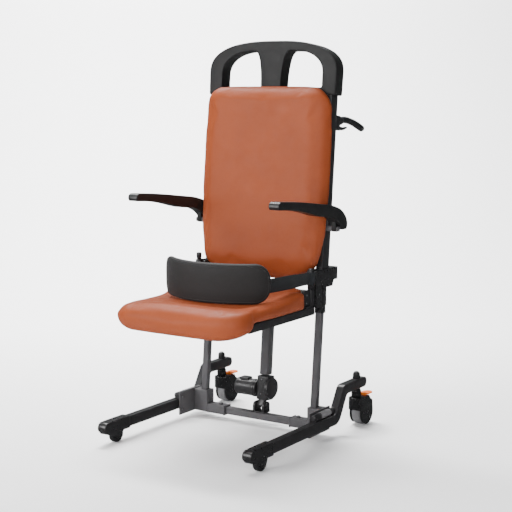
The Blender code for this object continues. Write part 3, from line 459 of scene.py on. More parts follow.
def tube(name, points, radius, sides=6, radii=None):
    """A round bar along a line of points, closed at both ends."""
    line = [Vector(p) for p in points]
    bm = bmesh.new()
    count = 8 + 4 * sides
    rows = []
    for i, place in enumerate(line):
        ahead = (line[min(i + 1, len(line) - 1)] - line[max(i - 1, 0)]).normalized()
        side = ahead.cross(Vector((1, 0, 0)))
        if side.length < 0.3:
            side = ahead.cross(Vector((0, 0, 1)))
        side.normalize()
        up = ahead.cross(side).normalized()
        r = radius * (radii[i] if radii else 1.0)
        rows.append([bm.verts.new(place + (side * math.cos(2 * math.pi * k / count) + up * math.sin(2 * math.pi * k / count)) * r) for k in range(count)])
    for a, b in zip(rows, rows[1:]):
        for k in range(count):
            bm.faces.new((a[k], b[k], b[(k + 1) % count], a[(k + 1) % count]))
    bm.faces.new(rows[0])
    bm.faces.new(rows[-1])
    return from_bmesh(name, bm)


def boolean(obj, other, operation):
    CUTTERS.append(other)
    change = obj.modifiers.new(other.name, "BOOLEAN")
    change.operation = operation
    change.solver = "EXACT"
    change.object = other
    return obj


def cut(obj, *others):
    for other in others:
        boolean(obj, other, "DIFFERENCE")
    return obj


def add(obj, *others):
    for other in others:
        boolean(obj, other, "UNION")
    return obj


def settled(obj, name=None):
    """The object's final mesh, in the row frame, as a new object; the construction objects are removed."""
    bpy.context.view_layer.update()
    graph = bpy.context.evaluated_depsgraph_get()
    mesh = bpy.data.meshes.new_from_object(obj.evaluated_get(graph))
    mesh.transform(Matrix.Translation(SHIFT) @ obj.matrix_world)
    bm = bmesh.new()
    bm.from_mesh(mesh)
    bmesh.ops.remove_doubles(bm, verts=bm.verts, dist=0.000004)
    bm.to_mesh(mesh)
    bm.free()
    kept = name or obj.name
    for used in [obj, *CUTTERS]:
        bpy.data.objects.remove(used, do_unlink=True)
    CUTTERS.clear()
    made = bpy.data.objects.new(kept, mesh)
    scene.collection.objects.link(made)
    return made


def dress(made, look, smooth=32):
    made.data.materials.clear()
    made.data.materials.append(LOOKS[look].material)
    made.data.shade_smooth()
    made.data.set_sharp_from_angle(angle=math.radians(smooth))
    return made


def finish(obj, body, look, *nodes, smooth=32, name=None):
    """Settles a piece, gives it its look, lets it ride on its body, and hides the CAD nodes that it stands for."""
    made = dress(settled(obj, name), look, smooth)
    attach(made, body)
    if nodes:
        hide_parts(*nodes)
    return made


def screw_head(name, place, facing, radius, body, look="zinc", height=0.0022, kind="hex"):
    """A button-head screw with a socket, standing on a face. facing is the face's outward direction."""
    profile = [(0, height), (radius * 0.55, height), (radius * 0.85, height * 0.72), (radius, height * 0.25), (radius, -0.0006), (0, -0.0006)]
    head = turned(name, profile, "Z", (0, 0, 0), 32)
    socket = rod("socket", "Z", (0, 0, height), radius * 0.42, height * 1.1, 6 if kind == "hex" else 4)
    cut(head, socket)
    turn = Vector(facing).to_track_quat("Z", "Y").to_matrix().to_4x4()
    bpy.context.view_layer.update()
    head.matrix_world = Matrix.Translation(Vector(place)) @ turn
    socket.matrix_world = Matrix.Translation(Vector(place)) @ turn @ Matrix.Translation((0, 0, height))
    return finish(head, body, look)


# ------------------------------------------------------------------ base
CROSS_Y, CROSS_Z = (0.083, 0.108), (0.0175, 0.0375)
finish(
    box("crossbar_tube", (-0.170, CROSS_Y[0], CROSS_Z[0]), (0.170, CROSS_Y[1], CROSS_Z[1]), 0.0022, 4),
    "base",
    "charcoal_paint",
    "crossbar",
)

POST_Y, POST_Y_AT = 0.090, 0.088
for s, side in SIDES:
    bracket = box(
        "corner_casting_" + side,
        (s * 0.17825 if s > 0 else -0.2275, 0.0735, 0.017),
        (0.2275 if s > 0 else -0.17825, 0.111, 0.084),
        0.003,
        4,
    )
    plate = box("plate", (min(s * 0.2265, s * 0.2315), 0.0, 0.0162), (max(s * 0.2265, s * 0.2315), 0.1160, 0.087), 0.0012, 2)
    collar = box("collar", (min(s * 0.1185, s * 0.181), 0.0757, 0.0157), (max(s * 0.1185, s * 0.181), 0.1095, 0.0425), 0.002)
    flange = box("flange", (min(s * 0.1155, s * 0.1205), 0.0742, 0.0142), (max(s * 0.1155, s * 0.1205), 0.1107, 0.0437), 0.0015)
    knob = rod("knob", "Z", (s * 0.1385, 0.0925, 0.0445), 0.0065, 0.006, 32, 0.001)
    barrel = rod("barrel", "Y", (s * HINGE_X, 0.065, HINGE_Z), HINGE_R, 0.0560, 48, 0.0008)
    bridge = box("bridge", (min(s * 0.2305, s * 0.2405), 0.0372, 0.0668), (max(s * 0.2305, s * 0.2405), 0.0928, 0.0832))
    add(bracket, plate, collar, flange, knob, bridge, barrel)
    cut(
        bracket,
        box("hole", (min(s * 0.110, s * 0.1703), CROSS_Y[0] - GAP, CROSS_Z[0] - GAP), (max(s * 0.110, s * 0.1703), CROSS_Y[1] + GAP, CROSS_Z[1] + GAP)),
        rod("bore", "Y", (s * HINGE_X, 0.065, HINGE_Z), 0.0048, 0.09, 24),
        leaning_box("post_hole", (s * POST_X - 0.0103, s * POST_X + 0.0103), (POST_Y - 0.0103, POST_Y + 0.0103), POST_Y_AT, (0.0447, 0.12)),
    )
    finish(bracket, "base", "charcoal_paint", "corner_bracket_" + side)
    sheath = turned(
        "hinge_sleeve_" + side,
        [(0.0095, 0.0264), (0.0097, 0.0264), (0.0099, 0.0262), (0.0099, -0.0262), (0.0097, -0.0264), (0.0095, -0.0264)],
        "Y",
        (s * HINGE_X, 0.0650, HINGE_Z),
        64,
        ring=True,
    )
    cut(
        sheath,
        box("leg_side", (s * HINGE_X - 0.02, 0.03, HINGE_Z - 0.02), (s * HINGE_X + 0.02, 0.10, HINGE_Z - 0.0093)),
        box("bridge_side", (min(s * 0.2300, s * 0.2370), 0.03, HINGE_Z - 0.02), (max(s * 0.2300, s * 0.2370), 0.10, HINGE_Z + 0.0084)),
    )
    finish(sheath, "base", "grey_casting")
    screw_head("collar_screw_" + side, Vector((s * 0.1385, 0.0925, 0.0476)), (0, 0, 1), 0.0042, "base", "dark_steel", 0.0016)
    for k, (y, z) in enumerate(((0.0120, 0.0300), (0.0120, 0.0700))):
        screw_head(f"plate_screw_{side}_{k + 1}", Vector((s * 0.2265, y, z)), (-s, 0, 0), 0.0034, "base", "dark_steel", 0.0016)

    post = leaning_box(
        "post_tube_" + side,
        (s * POST_X - POST_SIDE / 2, s * POST_X + POST_SIDE / 2),
        (POST_Y - POST_SIDE / 2, POST_Y + POST_SIDE / 2),
        POST_Y_AT,
        (0.0460, 0.660),
        0.003,
        4,
    )
    inner = POST_SIDE / 2 - 0.002
    cut(post, leaning_box("inside", (s * POST_X - inner, s * POST_X + inner), (POST_Y - inner, POST_Y + inner), POST_Y_AT, (0.030, 0.680)))
    finish(post, "base", "charcoal_paint", "guide_post_" + side)

COLUMN_Y, COLUMN_Y_AT = 0.1295, 0.145
column = leaning_box("column_tube", (-0.014, 0.014), (COLUMN_Y - 0.0145, COLUMN_Y + 0.0145), COLUMN_Y_AT, (0.1475, 0.3805), 0.0028, 4)
cut(column, leaning_box("bore", (-0.0115, 0.0115), (COLUMN_Y - 0.0120, COLUMN_Y + 0.0120), COLUMN_Y_AT, (0.1515, 0.40)))
finish(column, "base", "charcoal_paint", "lift_column")
wiper = leaning_box("column_wiper", (-0.0139, 0.0139), (COLUMN_Y - 0.0144, COLUMN_Y + 0.0144), COLUMN_Y_AT, (0.3806, 0.3822), 0.0006, 2)
cut(wiper, leaning_box("bore", (-0.0109, 0.0109), (COLUMN_Y - 0.0114, COLUMN_Y + 0.0114), COLUMN_Y_AT, (0.37, 0.40)))
finish(wiper, "base", "black_tread")

FOOT_PIN = (0.1050, 0.0600)
housing = leaning_box("gearbox_shell", (-0.0185, 0.0215), (0.1070, 0.1440), 0.108, (0.0720, 0.1450), 0.004, 5)
add(
    housing,
    rod("disc", "X", (0.0205, 0.1260, 0.1080), 0.0320, 0.0130, 64, 0.0022, 4),
    outline("tab", [fillet([(0.0935, 0.0500, 0.008), (0.1165, 0.0500, 0.008), (0.1200, 0.0800), (0.1090, 0.0800)])], "X", (0, 0, 0), 0.0220, 0.001, 2, angle=60),
)
cut(
    housing,
    rod("eye", "X", (0, *FOOT_PIN), 0.0053, 0.06, 32),
    leaning_box("face_line_left", (-0.0123, -0.0115), (0.1060, 0.1080), 0.108, (0.0850, 0.1500)),
    leaning_box("face_line_right", (0.0145, 0.0153), (0.1060, 0.1080), 0.108, (0.0850, 0.1500)),
)
finish(housing, "base", "charcoal_plastic", "gearbox_housing")
for k, (x, z) in enumerate(((-0.0030, 0.1345), (-0.0030, 0.0900))):
    screw_head(f"gearbox_screw_{k + 1}", Vector((x, lean_y(0.1070, z, 0.108), z)), (0, -1, LEAN_SLOPE), 0.0028, "base", "dark_steel", 0.0012)

motor = rod("motor_can", "X", (-0.0563, 0.1210, 0.1040), 0.0255, 0.0750, 96, 0.0030, 5)
add(
    motor,
    rod("band", "X", (-0.0300, 0.1210, 0.1040), 0.0268, 0.0100, 96, 0.0006, 2),
    rod("end_band", "X", (-0.0860, 0.1210, 0.1040), 0.0262, 0.0060, 96, 0.0010, 3),
    box("boss", (-0.081, 0.108, 0.120), (-0.050, 0.134, 0.1345), 0.003),
)
finish(motor, "base", "charcoal_plastic", "lift_motor")

foot = box("actuator_shoe", (-0.0240, 0.0845, 0.0378), (0.0240, 0.1180, 0.0412), 0.0008, 2)
lug = fillet([(0.0875, 0.0390), (0.1225, 0.0390), (0.1225, 0.0695, 0.012), (0.0875, 0.0695, 0.012)], 10)
add(foot, *[outline("lug", [lug], "X", (x, 0, 0), 0.0075, 0.0008, 2, angle=60) for x in (-0.0158, 0.0158)])
cut(foot, rod("eye", "X", (0, *FOOT_PIN), 0.0053, 0.06, 32))
finish(foot, "base", "black_paint", "actuator_foot")
finish(
    turned(
        "foot_bolt",
        [(0, 0.0235), (0.0070, 0.0235), (0.0080, 0.0226), (0.0080, 0.0200), (0.0050, 0.0200), (0.0050, -0.0215), (0, -0.0215)],
        "X",
        (0, *FOOT_PIN),
        48,
    ),
    "base",
    "dark_steel",
    "foot_pin",
)

# ------------------------------------------------------------------ legs, wheels and casters
LEG_PROFILE = [
    (-0.2500, 0.0350, 0.002),
    (-0.2500, 0.0650, 0.002),
    (0.1050, 0.0650, 0.018),
    (0.1530, 0.1435, 0.022),
    (0.2920, 0.1435, 0.012),
    (0.2920, 0.1140, 0.014),
    (0.1720, 0.1140, 0.014),
    (0.1260, 0.0350, 0.040),
]
CAP_PROFILE = (
    [(-0.2320, 0.0318), (-0.2320, 0.0685), (-0.3170, 0.0685)]
    + arc((-0.3275, 0.0515), 0.0165, 75, 210, 18)
    + [(-0.3320, 0.0335)]
    + arc((FRONT_Y, 0.0265), 0.0150, 208, 332, 18)
    + [(-0.2620, 0.0318)]
)
for s, side in SIDES:
    leg_body = "leg_" + side
    leg = outline("leg_" + side + "_tube", [fillet(LEG_PROFILE, 9)], "X", (s * TRACK_X, 0, 0), LEG_W, 0.003, 4, angle=50)
    for y0, y1 in [(0.0035, 0.0350), (0.0950, 0.1200)]:
        add(
            leg,
            box("web", (min(s * 0.2350, s * 0.2490), y0 + 0.001, 0.0600), (max(s * 0.2350, s * 0.2490), y1 - 0.001, 0.0715)),
            rod("knuckle", "Y", (s * HINGE_X, (y0 + y1) / 2, HINGE_Z), HINGE_R, y1 - y0, 48, 0.0008, 2),
        )
    cut(
        leg,
        rod("bore", "Y", (s * HINGE_X, 0.03825, HINGE_Z), 0.0048, 0.1465, 24),
        rod("stem_hole", "Z", (s * TRACK_X, STEM_Y, 0.130), 0.0065, 0.06, 24),
    )
    finish(leg, leg_body, "black_paint", "leg_tube_" + side)

    finish(
        turned(
            "leg_bolt_" + side,
            [(0, 0.0565), (0.0060, 0.0565), (0.0078, 0.0553), (0.0078, 0.0539), (0.0045, 0.0539), (0.0045, -0.0535), (0, -0.0535)],
            "Y",
            (s * HINGE_X, 0.0570, HINGE_Z),
            36,
        ),
        "base",
        "black_paint",
        "leg_hinge_pin_" + side,
    )

    cap = outline("leg_nose_" + side, [CAP_PROFILE], "X", (s * TRACK_X, 0, 0), 0.0310, 0.0042, 5, angle=45)
    cut(
        cap,
        box("socket", (s * TRACK_X - LEG_W / 2 - GAP, -0.2503, 0.0347), (s * TRACK_X + LEG_W / 2 + GAP, -0.2250, 0.0653)),
        box("slot", (s * TRACK_X - 0.0099, -0.3070, 0.0), (s * TRACK_X + 0.0099, -0.2535, 0.0525)),
    )
    add(cap, rod("axle", "X", (s * TRACK_X, FRONT_Y, FRONT_R), 0.0036, 0.0280, 32))
    finish(cap, leg_body, "black_plastic", "leg_cap_" + side)
    for face in (1, -1):
        screw_head(
            f"nose_axle_{side}_{'out' if face == s else 'in'}",
            Vector((s * TRACK_X + face * 0.0153, FRONT_Y, FRONT_R + 0.0008)),
            (face, 0, 0),
            0.0048,
            leg_body,
            "dark_steel",
            0.0014,
        )

    r = FRONT_R
    finish(
        turned(
            "front_roller_" + side,
            [
                (0.0040, 0.0082),
                (0.0090, 0.0082),
                (0.0095, 0.0070),
                (0.0165, 0.0070),
                (0.0170, 0.0090),
                (r - 0.0042, 0.0090),
                (r - 0.0018, 0.0084),
                (r - 0.0005, 0.0070),
                (r, 0.0048),
                (r, -0.0048),
                (r - 0.0005, -0.0070),
                (r - 0.0018, -0.0084),
                (r - 0.0042, -0.0090),
                (0.0170, -0.0090),
                (0.0165, -0.0070),
                (0.0095, -0.0070),
                (0.0090, -0.0082),
                (0.0040, -0.0082),
            ],
            "X",
            (s * TRACK_X, FRONT_Y, FRONT_R),
            72,
            ring=True,
        ),
        "front_wheel_" + side,
        "black_tread",
        "front_wheel_" + side,
    )

    dome = [(0.0110 * math.sin(a), 0.0455 + 0.0110 * math.cos(a)) for a in [math.radians(d) for d in range(0, 91, 10)]]
    finish(
        turned(
            "stem_dome_" + side,
            dome + [(0.0110, 0.0372), (0.0117, 0.0362), (0.0117, 0.0346), (0.0110, 0.0338), (0.0060, 0.0338), (0.0060, -0.0340), (0, -0.0340)],
            "Z",
            (s * TRACK_X, STEM_Y, 0.110),
            48,
        ),
        leg_body,
        "black_plastic",
        "caster_stem_" + side,
    )
    finish(
        turned(
            "swivel_race_" + side,
            [
                (0.0064, 0.1136),
                (0.0108, 0.1136),
                (0.0116, 0.1129),
                (0.0120, 0.1112),
                (0.0136, 0.1096),
                (0.0143, 0.1080),
                (0.0145, 0.1060),
                (0.0145, 0.1038),
                (0.0140, 0.1032),
                (0.0145, 0.1026),
                (0.0145, 0.0925),
                (0.0140, 0.0905),
                (0.0128, 0.0887),
                (0.0064, 0.0885),
            ],
            "Z",
            (s * TRACK_X, STEM_Y, 0),
            64,
            ring=True,
        ),
        leg_body,
        "gloss_black",
        "swivel_head_" + side,
    )

    caster = "caster_" + side
    x = s * TRACK_X
    hood = fillet(
        [
            (0.2350, 0.0480, 0.003),
            (0.2350, 0.0880, 0.004),
            (0.2885, 0.0880, 0.004),
            (0.2950, 0.0775, 0.004),
            (0.3085, 0.0705, 0.004),
            (0.3085, 0.0640, 0.004),
            (0.3040, 0.0480, 0.003),
        ],
        8,
    )
    fork = outline("caster_housing_" + side, [hood], "X", (x + 0.00285, 0, 0), 0.0433, 0.0022, 4, angle=50)
    cheek = [(0.2440, 0.0700), (0.3080, 0.0700)] + arc((REAR_Y, REAR_R), 0.0355, 5, -185, 48)
    add(
        fork,
        outline("right_cheek", [cheek], "X", (x + 0.02110, 0, 0), 0.0066, 0.0016, 4, angle=50),
        outline("left_cheek", [cheek], "X", (x - 0.01550, 0, 0), 0.0064, 0.0016, 4, angle=50),
        rod("nose", "Z", (x + 0.0010, 0.2435, 0.0718), 0.0178, 0.0318, 96, 0.0026, 4),
    )
    cut(
        fork,
        rod("wheel_room", "X", (x + WHEEL_SHIFT, REAR_Y, REAR_R), 0.0397, 0.0300, 96),
        box("pedal_slot", (x - 0.0060, 0.2745, 0.0790), (x + 0.0160, 0.3200, 0.1100)),
        rod("stem_bore", "Z", (x, STEM_Y, 0.0970), 0.0065, 0.0450, 32),
        turned(
            "nose_groove",
            [(0.0169, 0.0742), (0.0200, 0.0742), (0.0200, 0.0730), (0.0169, 0.0730)],
            "Z",
            (x + 0.0010, 0.2435, 0),
            96,
            ring=True,
        ),
    )
    add(
        fork,
        rod("axle", "X", (x + WHEEL_SHIFT, REAR_Y, REAR_R), 0.0042, 0.0310, 32),
        rod("pedal_axle", "X", (x + 0.0050, 0.2835, 0.0845), 0.0022, 0.0300, 24),
    )
    finish(fork, caster, "gloss_black", "caster_fork_" + side)
    screw_head("caster_axle_" + side, Vector((x + 0.0243, REAR_Y, REAR_R)), (1, 0, 0), 0.0055, caster, "black_plastic", 0.0012)

    wheel = "rear_wheel_" + side
    r = REAR_R
    finish(
        turned(
            "rear_tread_" + side,
            [
                (0.0268, 0.0130),
                (0.0280, 0.0138),
                (r - 0.0055, 0.0138),
                (r - 0.0024, 0.0131),
                (r - 0.0008, 0.0118),
                (r, 0.0092),
                (r, -0.0092),
                (r - 0.0008, -0.0118),
                (r - 0.0024, -0.0131),
                (r - 0.0055, -0.0138),
                (0.0280, -0.0138),
                (0.0268, -0.0130),
            ],
            "X",
            (x + WHEEL_SHIFT, REAR_Y, REAR_R),
            96,
            ring=True,
        ),
        wheel,
        "grey_tread",
        "rear_tyre_" + side,
    )
    hub = turned(
        "rear_centre_" + side,
        [(0.0048, 0.0133), (0.0100, 0.0133), (0.0105, 0.0128), (0.0108, 0.0095), (0.0225, 0.0095), (0.0232, 0.0126), (0.0236, 0.0133), (0.0262, 0.0133)]
        + [(0.0262, -0.0133), (0.0236, -0.0133), (0.0232, -0.0126), (0.0225, -0.0095), (0.0108, -0.0095), (0.0105, -0.0128), (0.0100, -0.0133), (0.0048, -0.0133)],
        "X",
        (x + WHEEL_SHIFT, REAR_Y, REAR_R),
        64,
        ring=True,
    )
    xw = x + WHEEL_SHIFT
    add(hub, *[
        box("rib", (xw - 0.0124, REAR_Y - 0.0012, REAR_R + 0.0095), (xw + 0.0124, REAR_Y + 0.0012, REAR_R + 0.0240)),
        box("rib", (xw - 0.0124, REAR_Y - 0.0012, REAR_R - 0.0240), (xw + 0.0124, REAR_Y + 0.0012, REAR_R - 0.0095)),
        box("rib", (xw - 0.0124, REAR_Y + 0.0095, REAR_R - 0.0012), (xw + 0.0124, REAR_Y + 0.0240, REAR_R + 0.0012)),
        box("rib", (xw - 0.0124, REAR_Y - 0.0240, REAR_R - 0.0012), (xw + 0.0124, REAR_Y - 0.0095, REAR_R + 0.0012)),
    ])
    finish(hub, wheel, "black_plastic", "rear_hub_" + side)
    pedal = outline(
        "pedal_" + side,
        [fillet([(0.2790, 0.0805, 0.002), (0.2790, 0.0932, 0.002), (0.2890, 0.0932), (0.2880, 0.0805, 0.002)], 6)],
        "X",
        (x + 0.0050, 0, 0),
        0.0200,
        0.0005,
        2,
        angle=40,
    )
    plate = [
        (x - 0.0055, 0.2803, 0.001),
        (x + 0.0235, 0.2803, 0.003),
        (x + 0.0235, 0.3070, 0.006),
        (x + 0.0150, 0.3170, 0.006),
        (x + 0.0030, 0.3150, 0.005),
        (x - 0.0055, 0.3020, 0.003),
    ]
    add(pedal, outline("plate", [fillet(plate, 8)], "Z", (0, 0, 0.0920), 0.0040, 0.0012, 4))
    cut(
        pedal,
        rod("bore", "X", (x + 0.0050, 0.2835, 0.0845), 0.0025, 0.0400, 24),
        *[box("tread_line", (x + 0.0010, y, 0.0936), (x + 0.0190, y + 0.0010, 0.0980)) for y in (0.2950, 0.2990, 0.3030, 0.3070)],
    )
    finish(pedal, "brake_" + side, "orange_plastic", "brake_pedal_" + side)

# ------------------------------------------------------------------ carriage
finish(
    leaning_box("piston_tube", (-0.0105, 0.0105), (COLUMN_Y - 0.0110, COLUMN_Y + 0.0110), COLUMN_Y_AT, (0.1545, 0.3830), 0.0018, 4),
    "carriage",
    "steel",
    "lift_piston",
)
finish(box("beam_tube", (-0.1822, 0.1165, 0.3850), (0.1822, 0.1660, 0.4120), 0.0025, 4), "carriage", "black_paint", "carriage_beam")

UPRIGHT_Y, UPRIGHT_Y_AT = 0.131, 0.520
HANDLE_FRONT_AT_1 = 0.1515
for s, side in SIDES:
    c = "carriage"
    post_room = POST_SIDE / 2 + 0.0005
    sleeve = box("sleeve_" + side, (s * POST_X - 0.0120, 0.1075, 0.3790), (s * POST_X + 0.0120, 0.1340, 0.4325), 0.002)
    add(sleeve, box("bush", (s * POST_X - 0.0113, 0.1045, 0.3570), (s * POST_X + 0.0113, 0.1300, 0.3800), 0.0015))
    cut(
        sleeve,
        leaning_box("bore", (s * POST_X - post_room, s * POST_X + post_room), (POST_Y - post_room, POST_Y + post_room), POST_Y_AT, (0.33, 0.46)),
    )
    finish(sleeve, c, "black_plastic", "guide_sleeve_" + side)

    profile = [
        (0.0680, 0.4445, 0.001),
        (0.0680, 0.4870, 0.003),
        (0.1900, 0.4870, 0.002),
        (0.1900, 0.4500, 0.002),
        (0.1690, 0.4500),
        (0.1610, 0.4330, 0.002),
        (0.1075, 0.4330),
        (0.1075, 0.4445),
    ]
    bracket = outline("lift_bracket_" + side, [fillet(profile, 5)], "X", (s * POST_X, 0, 0), 0.0320, 0.0016, 3)
    kx, ky = s * SEAT_HINGE[0], SEAT_HINGE[1]
    add(
        bracket,
        box("front_block", (s * POST_X - 0.0080, 0.0740, 0.3790), (s * POST_X + 0.0140, 0.1040, 0.4500), 0.0018, 3)
        if s > 0
        else box("front_block", (s * POST_X - 0.0140, 0.0740, 0.3790), (s * POST_X + 0.0080, 0.1040, 0.4500), 0.0018, 3),
    )
    cut(bracket, rod("strap_room", "Z", (kx, ky, 0.4667), 0.0135, 0.0362, 48))
    add(
        bracket,
        rod("knuckle", "Z", (kx, ky, 0.4635), 0.0100, 0.0550, 64, 0.0008, 3),
        box("upper_tongue", (kx - 0.0080, ky, 0.4846), (kx + 0.0080, 0.0820, 0.4907)),
        box("lower_tongue", (kx - 0.0080, ky, 0.4366), (kx + 0.0080, 0.0783, 0.4489)),
    )
    cut(
        bracket,
        rod("pin_bore", "Z", (kx, ky, 0.4635), 0.0044, 0.0800, 32),
        leaning_box("upright_seat", (s * POST_X - 0.0123, s * POST_X + 0.0123), (UPRIGHT_Y - 0.0193, UPRIGHT_Y + 0.0193), UPRIGHT_Y_AT, (0.4597, 0.52)),
        leaning_box("post_room", (s * POST_X - post_room, s * POST_X + post_room), (POST_Y - post_room, POST_Y + post_room), POST_Y_AT, (0.36, 0.50)),
    )
    finish(bracket, c, "black_plastic", "carriage_bracket_" + side)
    for k, (y, z) in enumerate(((0.1350, 0.4790), (0.1350, 0.4560), (0.1780, 0.4680))):
        screw_head(f"bracket_screw_{side}_{k + 1}", Vector((s * (POST_X + 0.0160), y, z)), (s, 0, 0), 0.0030, c, "dark_steel", 0.0012)
    screw_head(f"block_screw_{side}", Vector((s * (POST_X + 0.0140), 0.0890, 0.4170)), (s, 0, 0), 0.0022, c, "zinc", 0.0008)

    upright = leaning_box(
        "back_tube_" + side,
        (s * POST_X - UPRIGHT_W / 2, s * POST_X + UPRIGHT_W / 2),
        (UPRIGHT_Y - UPRIGHT_D / 2, UPRIGHT_Y + UPRIGHT_D / 2),
        UPRIGHT_Y_AT,
        (0.4600, 1.0160),
        0.0034,
        4,
    )
    cut(
        upright,
        leaning_box("inside", (s * POST_X - 0.0106, s * POST_X + 0.0106), (UPRIGHT_Y - 0.0170, UPRIGHT_Y + 0.0170), UPRIGHT_Y_AT, (0.440, 1.040)),
    )
    finish(upright, c, "black_paint", "upright_" + side)

    # Push grip: a moulded root, a paler collar, and a soft grip that dips to the rear.
    grip_line = [(0.2050, 0.9075), (0.2300, 0.9105), (0.2550, 0.9105), (0.2780, 0.9065), (0.3000, 0.9015), (0.3220, 0.8945), (0.3400, 0.8880), (0.3520, 0.8835), (0.3570, 0.8816), (0.3600, 0.8805)]
    grip_radii = [1.0, 1.0, 0.97, 0.95, 0.97, 1.0, 1.0, 0.97, 0.86, 0.62]
    fine_line = smooth_line([(0, y, z) for y, z in grip_line], 4, closed=False)
    fine_radii = [r[0] for r in smooth_line([(r, 0.0) for r in grip_radii], 4, closed=False)]
    grip = tube("grip_core_" + side, [(s * POST_X, y, z) for _, y, z in fine_line[:10]], 0.0092, 6)
    root = leaning_box("root", (s * POST_X - 0.0085, s * POST_X + 0.0085), (0.1858, 0.2125), 0.905, (0.8815, 0.9245), 0.0022, 3)
    ring = rod("collar", "Y", (s * POST_X, 0.2180, 0.9085), 0.0120, 0.0170, 48, 0.0015, 3)
    add(grip, root, ring)
    cut(grip, box("lever_slot", (s * POST_X - 0.0046, 0.1930, 0.8700), (s * POST_X + 0.0046, 0.2200, 0.8975)))
    add(grip, rod("lever_axle", "X", (s * POST_X, 0.2030, 0.8890), 0.0022, 0.0150, 24))
    finish(grip, c, "charcoal_plastic", "push_grip_" + side)
    ribs = [r * (1.0 if i < 7 else 1.0 + 0.018 * math.cos(i * 2.4)) for i, r in enumerate(fine_radii)]
    finish(tube("grip_sleeve_" + side, [(s * POST_X, y, z) for _, y, z in fine_line[5:]], 0.0100, 8, radii=ribs[5:]), c, "black_tread")

    lever = outline(
        "lever_" + side,
        [
            arc((0.2030, 0.8890), 0.0055, 60, 300, 24)
            + smooth_line([(0.2250, 0.8805), (0.2400, 0.8815), (0.2560, 0.8850), (0.2600, 0.8880), (0.2580, 0.8905), (0.2380, 0.8895), (0.2180, 0.8925)], 4, closed=False)
        ],
        "X",
        (s * POST_X, 0, 0),
        0.0080,
        0.0012,
        3,
        angle=50,
    )
    cut(lever, rod("bore", "X", (s * POST_X, 0.2030, 0.8890), 0.0026, 0.0300, 24))
    finish(lever, "push_lever_" + side, "black_plastic", "push_lever_" + side)

    foot_low, foot_high = sorted((s * 0.2074, s * 0.2150))
    arm_bracket = leaning_box("arm_hinge_" + side, (foot_low, foot_high), (0.1205, 0.1540), 0.61, (0.5960, 0.6300), 0.0015, 3)
    add(
        arm_bracket,
        rod("boss", "X", (s * 0.2195, *ARM_PIVOT), 0.0078, 0.0190, 48, 0.0006, 2),
        rod("pin", "X", (s * 0.2390, *ARM_PIVOT), 0.0045, 0.0240, 32),
        rod("nut", "X", (s * 0.2470, *ARM_PIVOT), 0.0075, 0.0060, 6, 0.0005, 2),
    )
    finish(arm_bracket, c, "charcoal_paint", "arm_bracket_" + side)
    screw_head(f"arm_foot_screw_{side}", Vector((s * 0.2150, 0.1455, 0.6215)), (s, 0, 0), 0.0030, c, "dark_steel", 0.0014)

    ARM_TOP = [(-0.2020, 0.6930), (-0.2000, 0.7000), (-0.1940, 0.7050), (-0.1800, 0.7060), (-0.0946, 0.6990), (-0.0420, 0.6930), (0.0120, 0.6860), (0.0670, 0.6790), (0.0960, 0.6730), (0.1250, 0.6645), (0.1410, 0.6560), (0.1540, 0.6460), (0.1640, 0.6340), (0.1695, 0.6210), (0.1680, 0.6080), (0.1620, 0.6015)]
    ARM_UNDER = [(0.1440, 0.6015), (0.1370, 0.6070), (0.1270, 0.6190), (0.1090, 0.6310), (0.0900, 0.6390), (0.0670, 0.6450), (0.0120, 0.6510), (-0.0680, 0.6690), (-0.1200, 0.6776), (-0.1600, 0.6820), (-0.1980, 0.6850)]
    arm_ring = smooth_line(ARM_TOP, 4, closed=False)[:-1] + [ARM_TOP[-1]] + smooth_line(ARM_UNDER, 4, closed=False)
    armrest = outline("arm_shell_" + side, [arm_ring], "X", (s * ARM_X, 0, 0), ARM_W, 0.0052, 5, angle=55)
    ear = outline("ear", [[(0.1180, 0.6350)] + arc(ARM_PIVOT, 0.0085, 185, 355, 24) + [(0.1420, 0.6200), (0.1420, 0.6350)]], "X", (s * 0.2365, 0, 0), 0.0130)
    add(armrest, ear)
    cut(armrest, rod("bore", "X", (s * 0.2390, *ARM_PIVOT), 0.0049, 0.0300, 32))
    finish(armrest, "armrest_" + side, "arm_plastic", "armrest_" + side)

# Top handle: an arch with two D openings round a centre splat.
HANDLE_SHOULDER, HANDLE_TOP, HANDLE_WIDE = 1.0450, 1.1392, 0.2212
arch = []
for k in range(61):
    a = math.pi / 2 * k / 60
    arch.append((HANDLE_WIDE * math.cos(a) ** (2 / 2.6), HANDLE_SHOULDER + (HANDLE_TOP - HANDLE_SHOULDER) * math.sin(a) ** (2 / 2.6)))
handle_foot = [(HANDLE_WIDE - 0.0048, 0.9818), (HANDLE_WIDE - 0.0016, 0.9848)]
handle_ring = handle_foot + arch + [(-x, z) for x, z in reversed(arch[:-1])] + [(-x, z) for x, z in reversed(handle_foot)]
window_arch = []
for k in range(41):
    a = math.pi / 2 * k / 40
    window_arch.append((0.0620 + 0.1120 * math.cos(a) ** (2 / 2.25), 1.0430 + 0.0680 * math.sin(a) ** (2 / 2.25)))
splat_edge = smooth_line([(0.0540, 1.1075), (0.0490, 1.1020), (0.0435, 1.0900), (0.0392, 1.0720), (0.0360, 1.0500), (0.0343, 1.0280), (0.0338, 1.0060)], 5, closed=False)
opening = [(0.1710, 1.0030), (0.1740, 1.0060)] + window_arch + [(0.0575, 1.1100)] + splat_edge + [(0.0368, 1.0030)]
handle = outline("handle_shell", [handle_ring], "Y", (0, 0, 0), 0.0450, 0.0060, 6, lean=LEAN, angle=50)
handle_place = Vector((0, HANDLE_FRONT_AT_1 + 0.0225 * math.cos(LEAN) - math.sin(LEAN) * 1.0, 1.0 * (1 - math.cos(LEAN))))
handle.location = handle_place
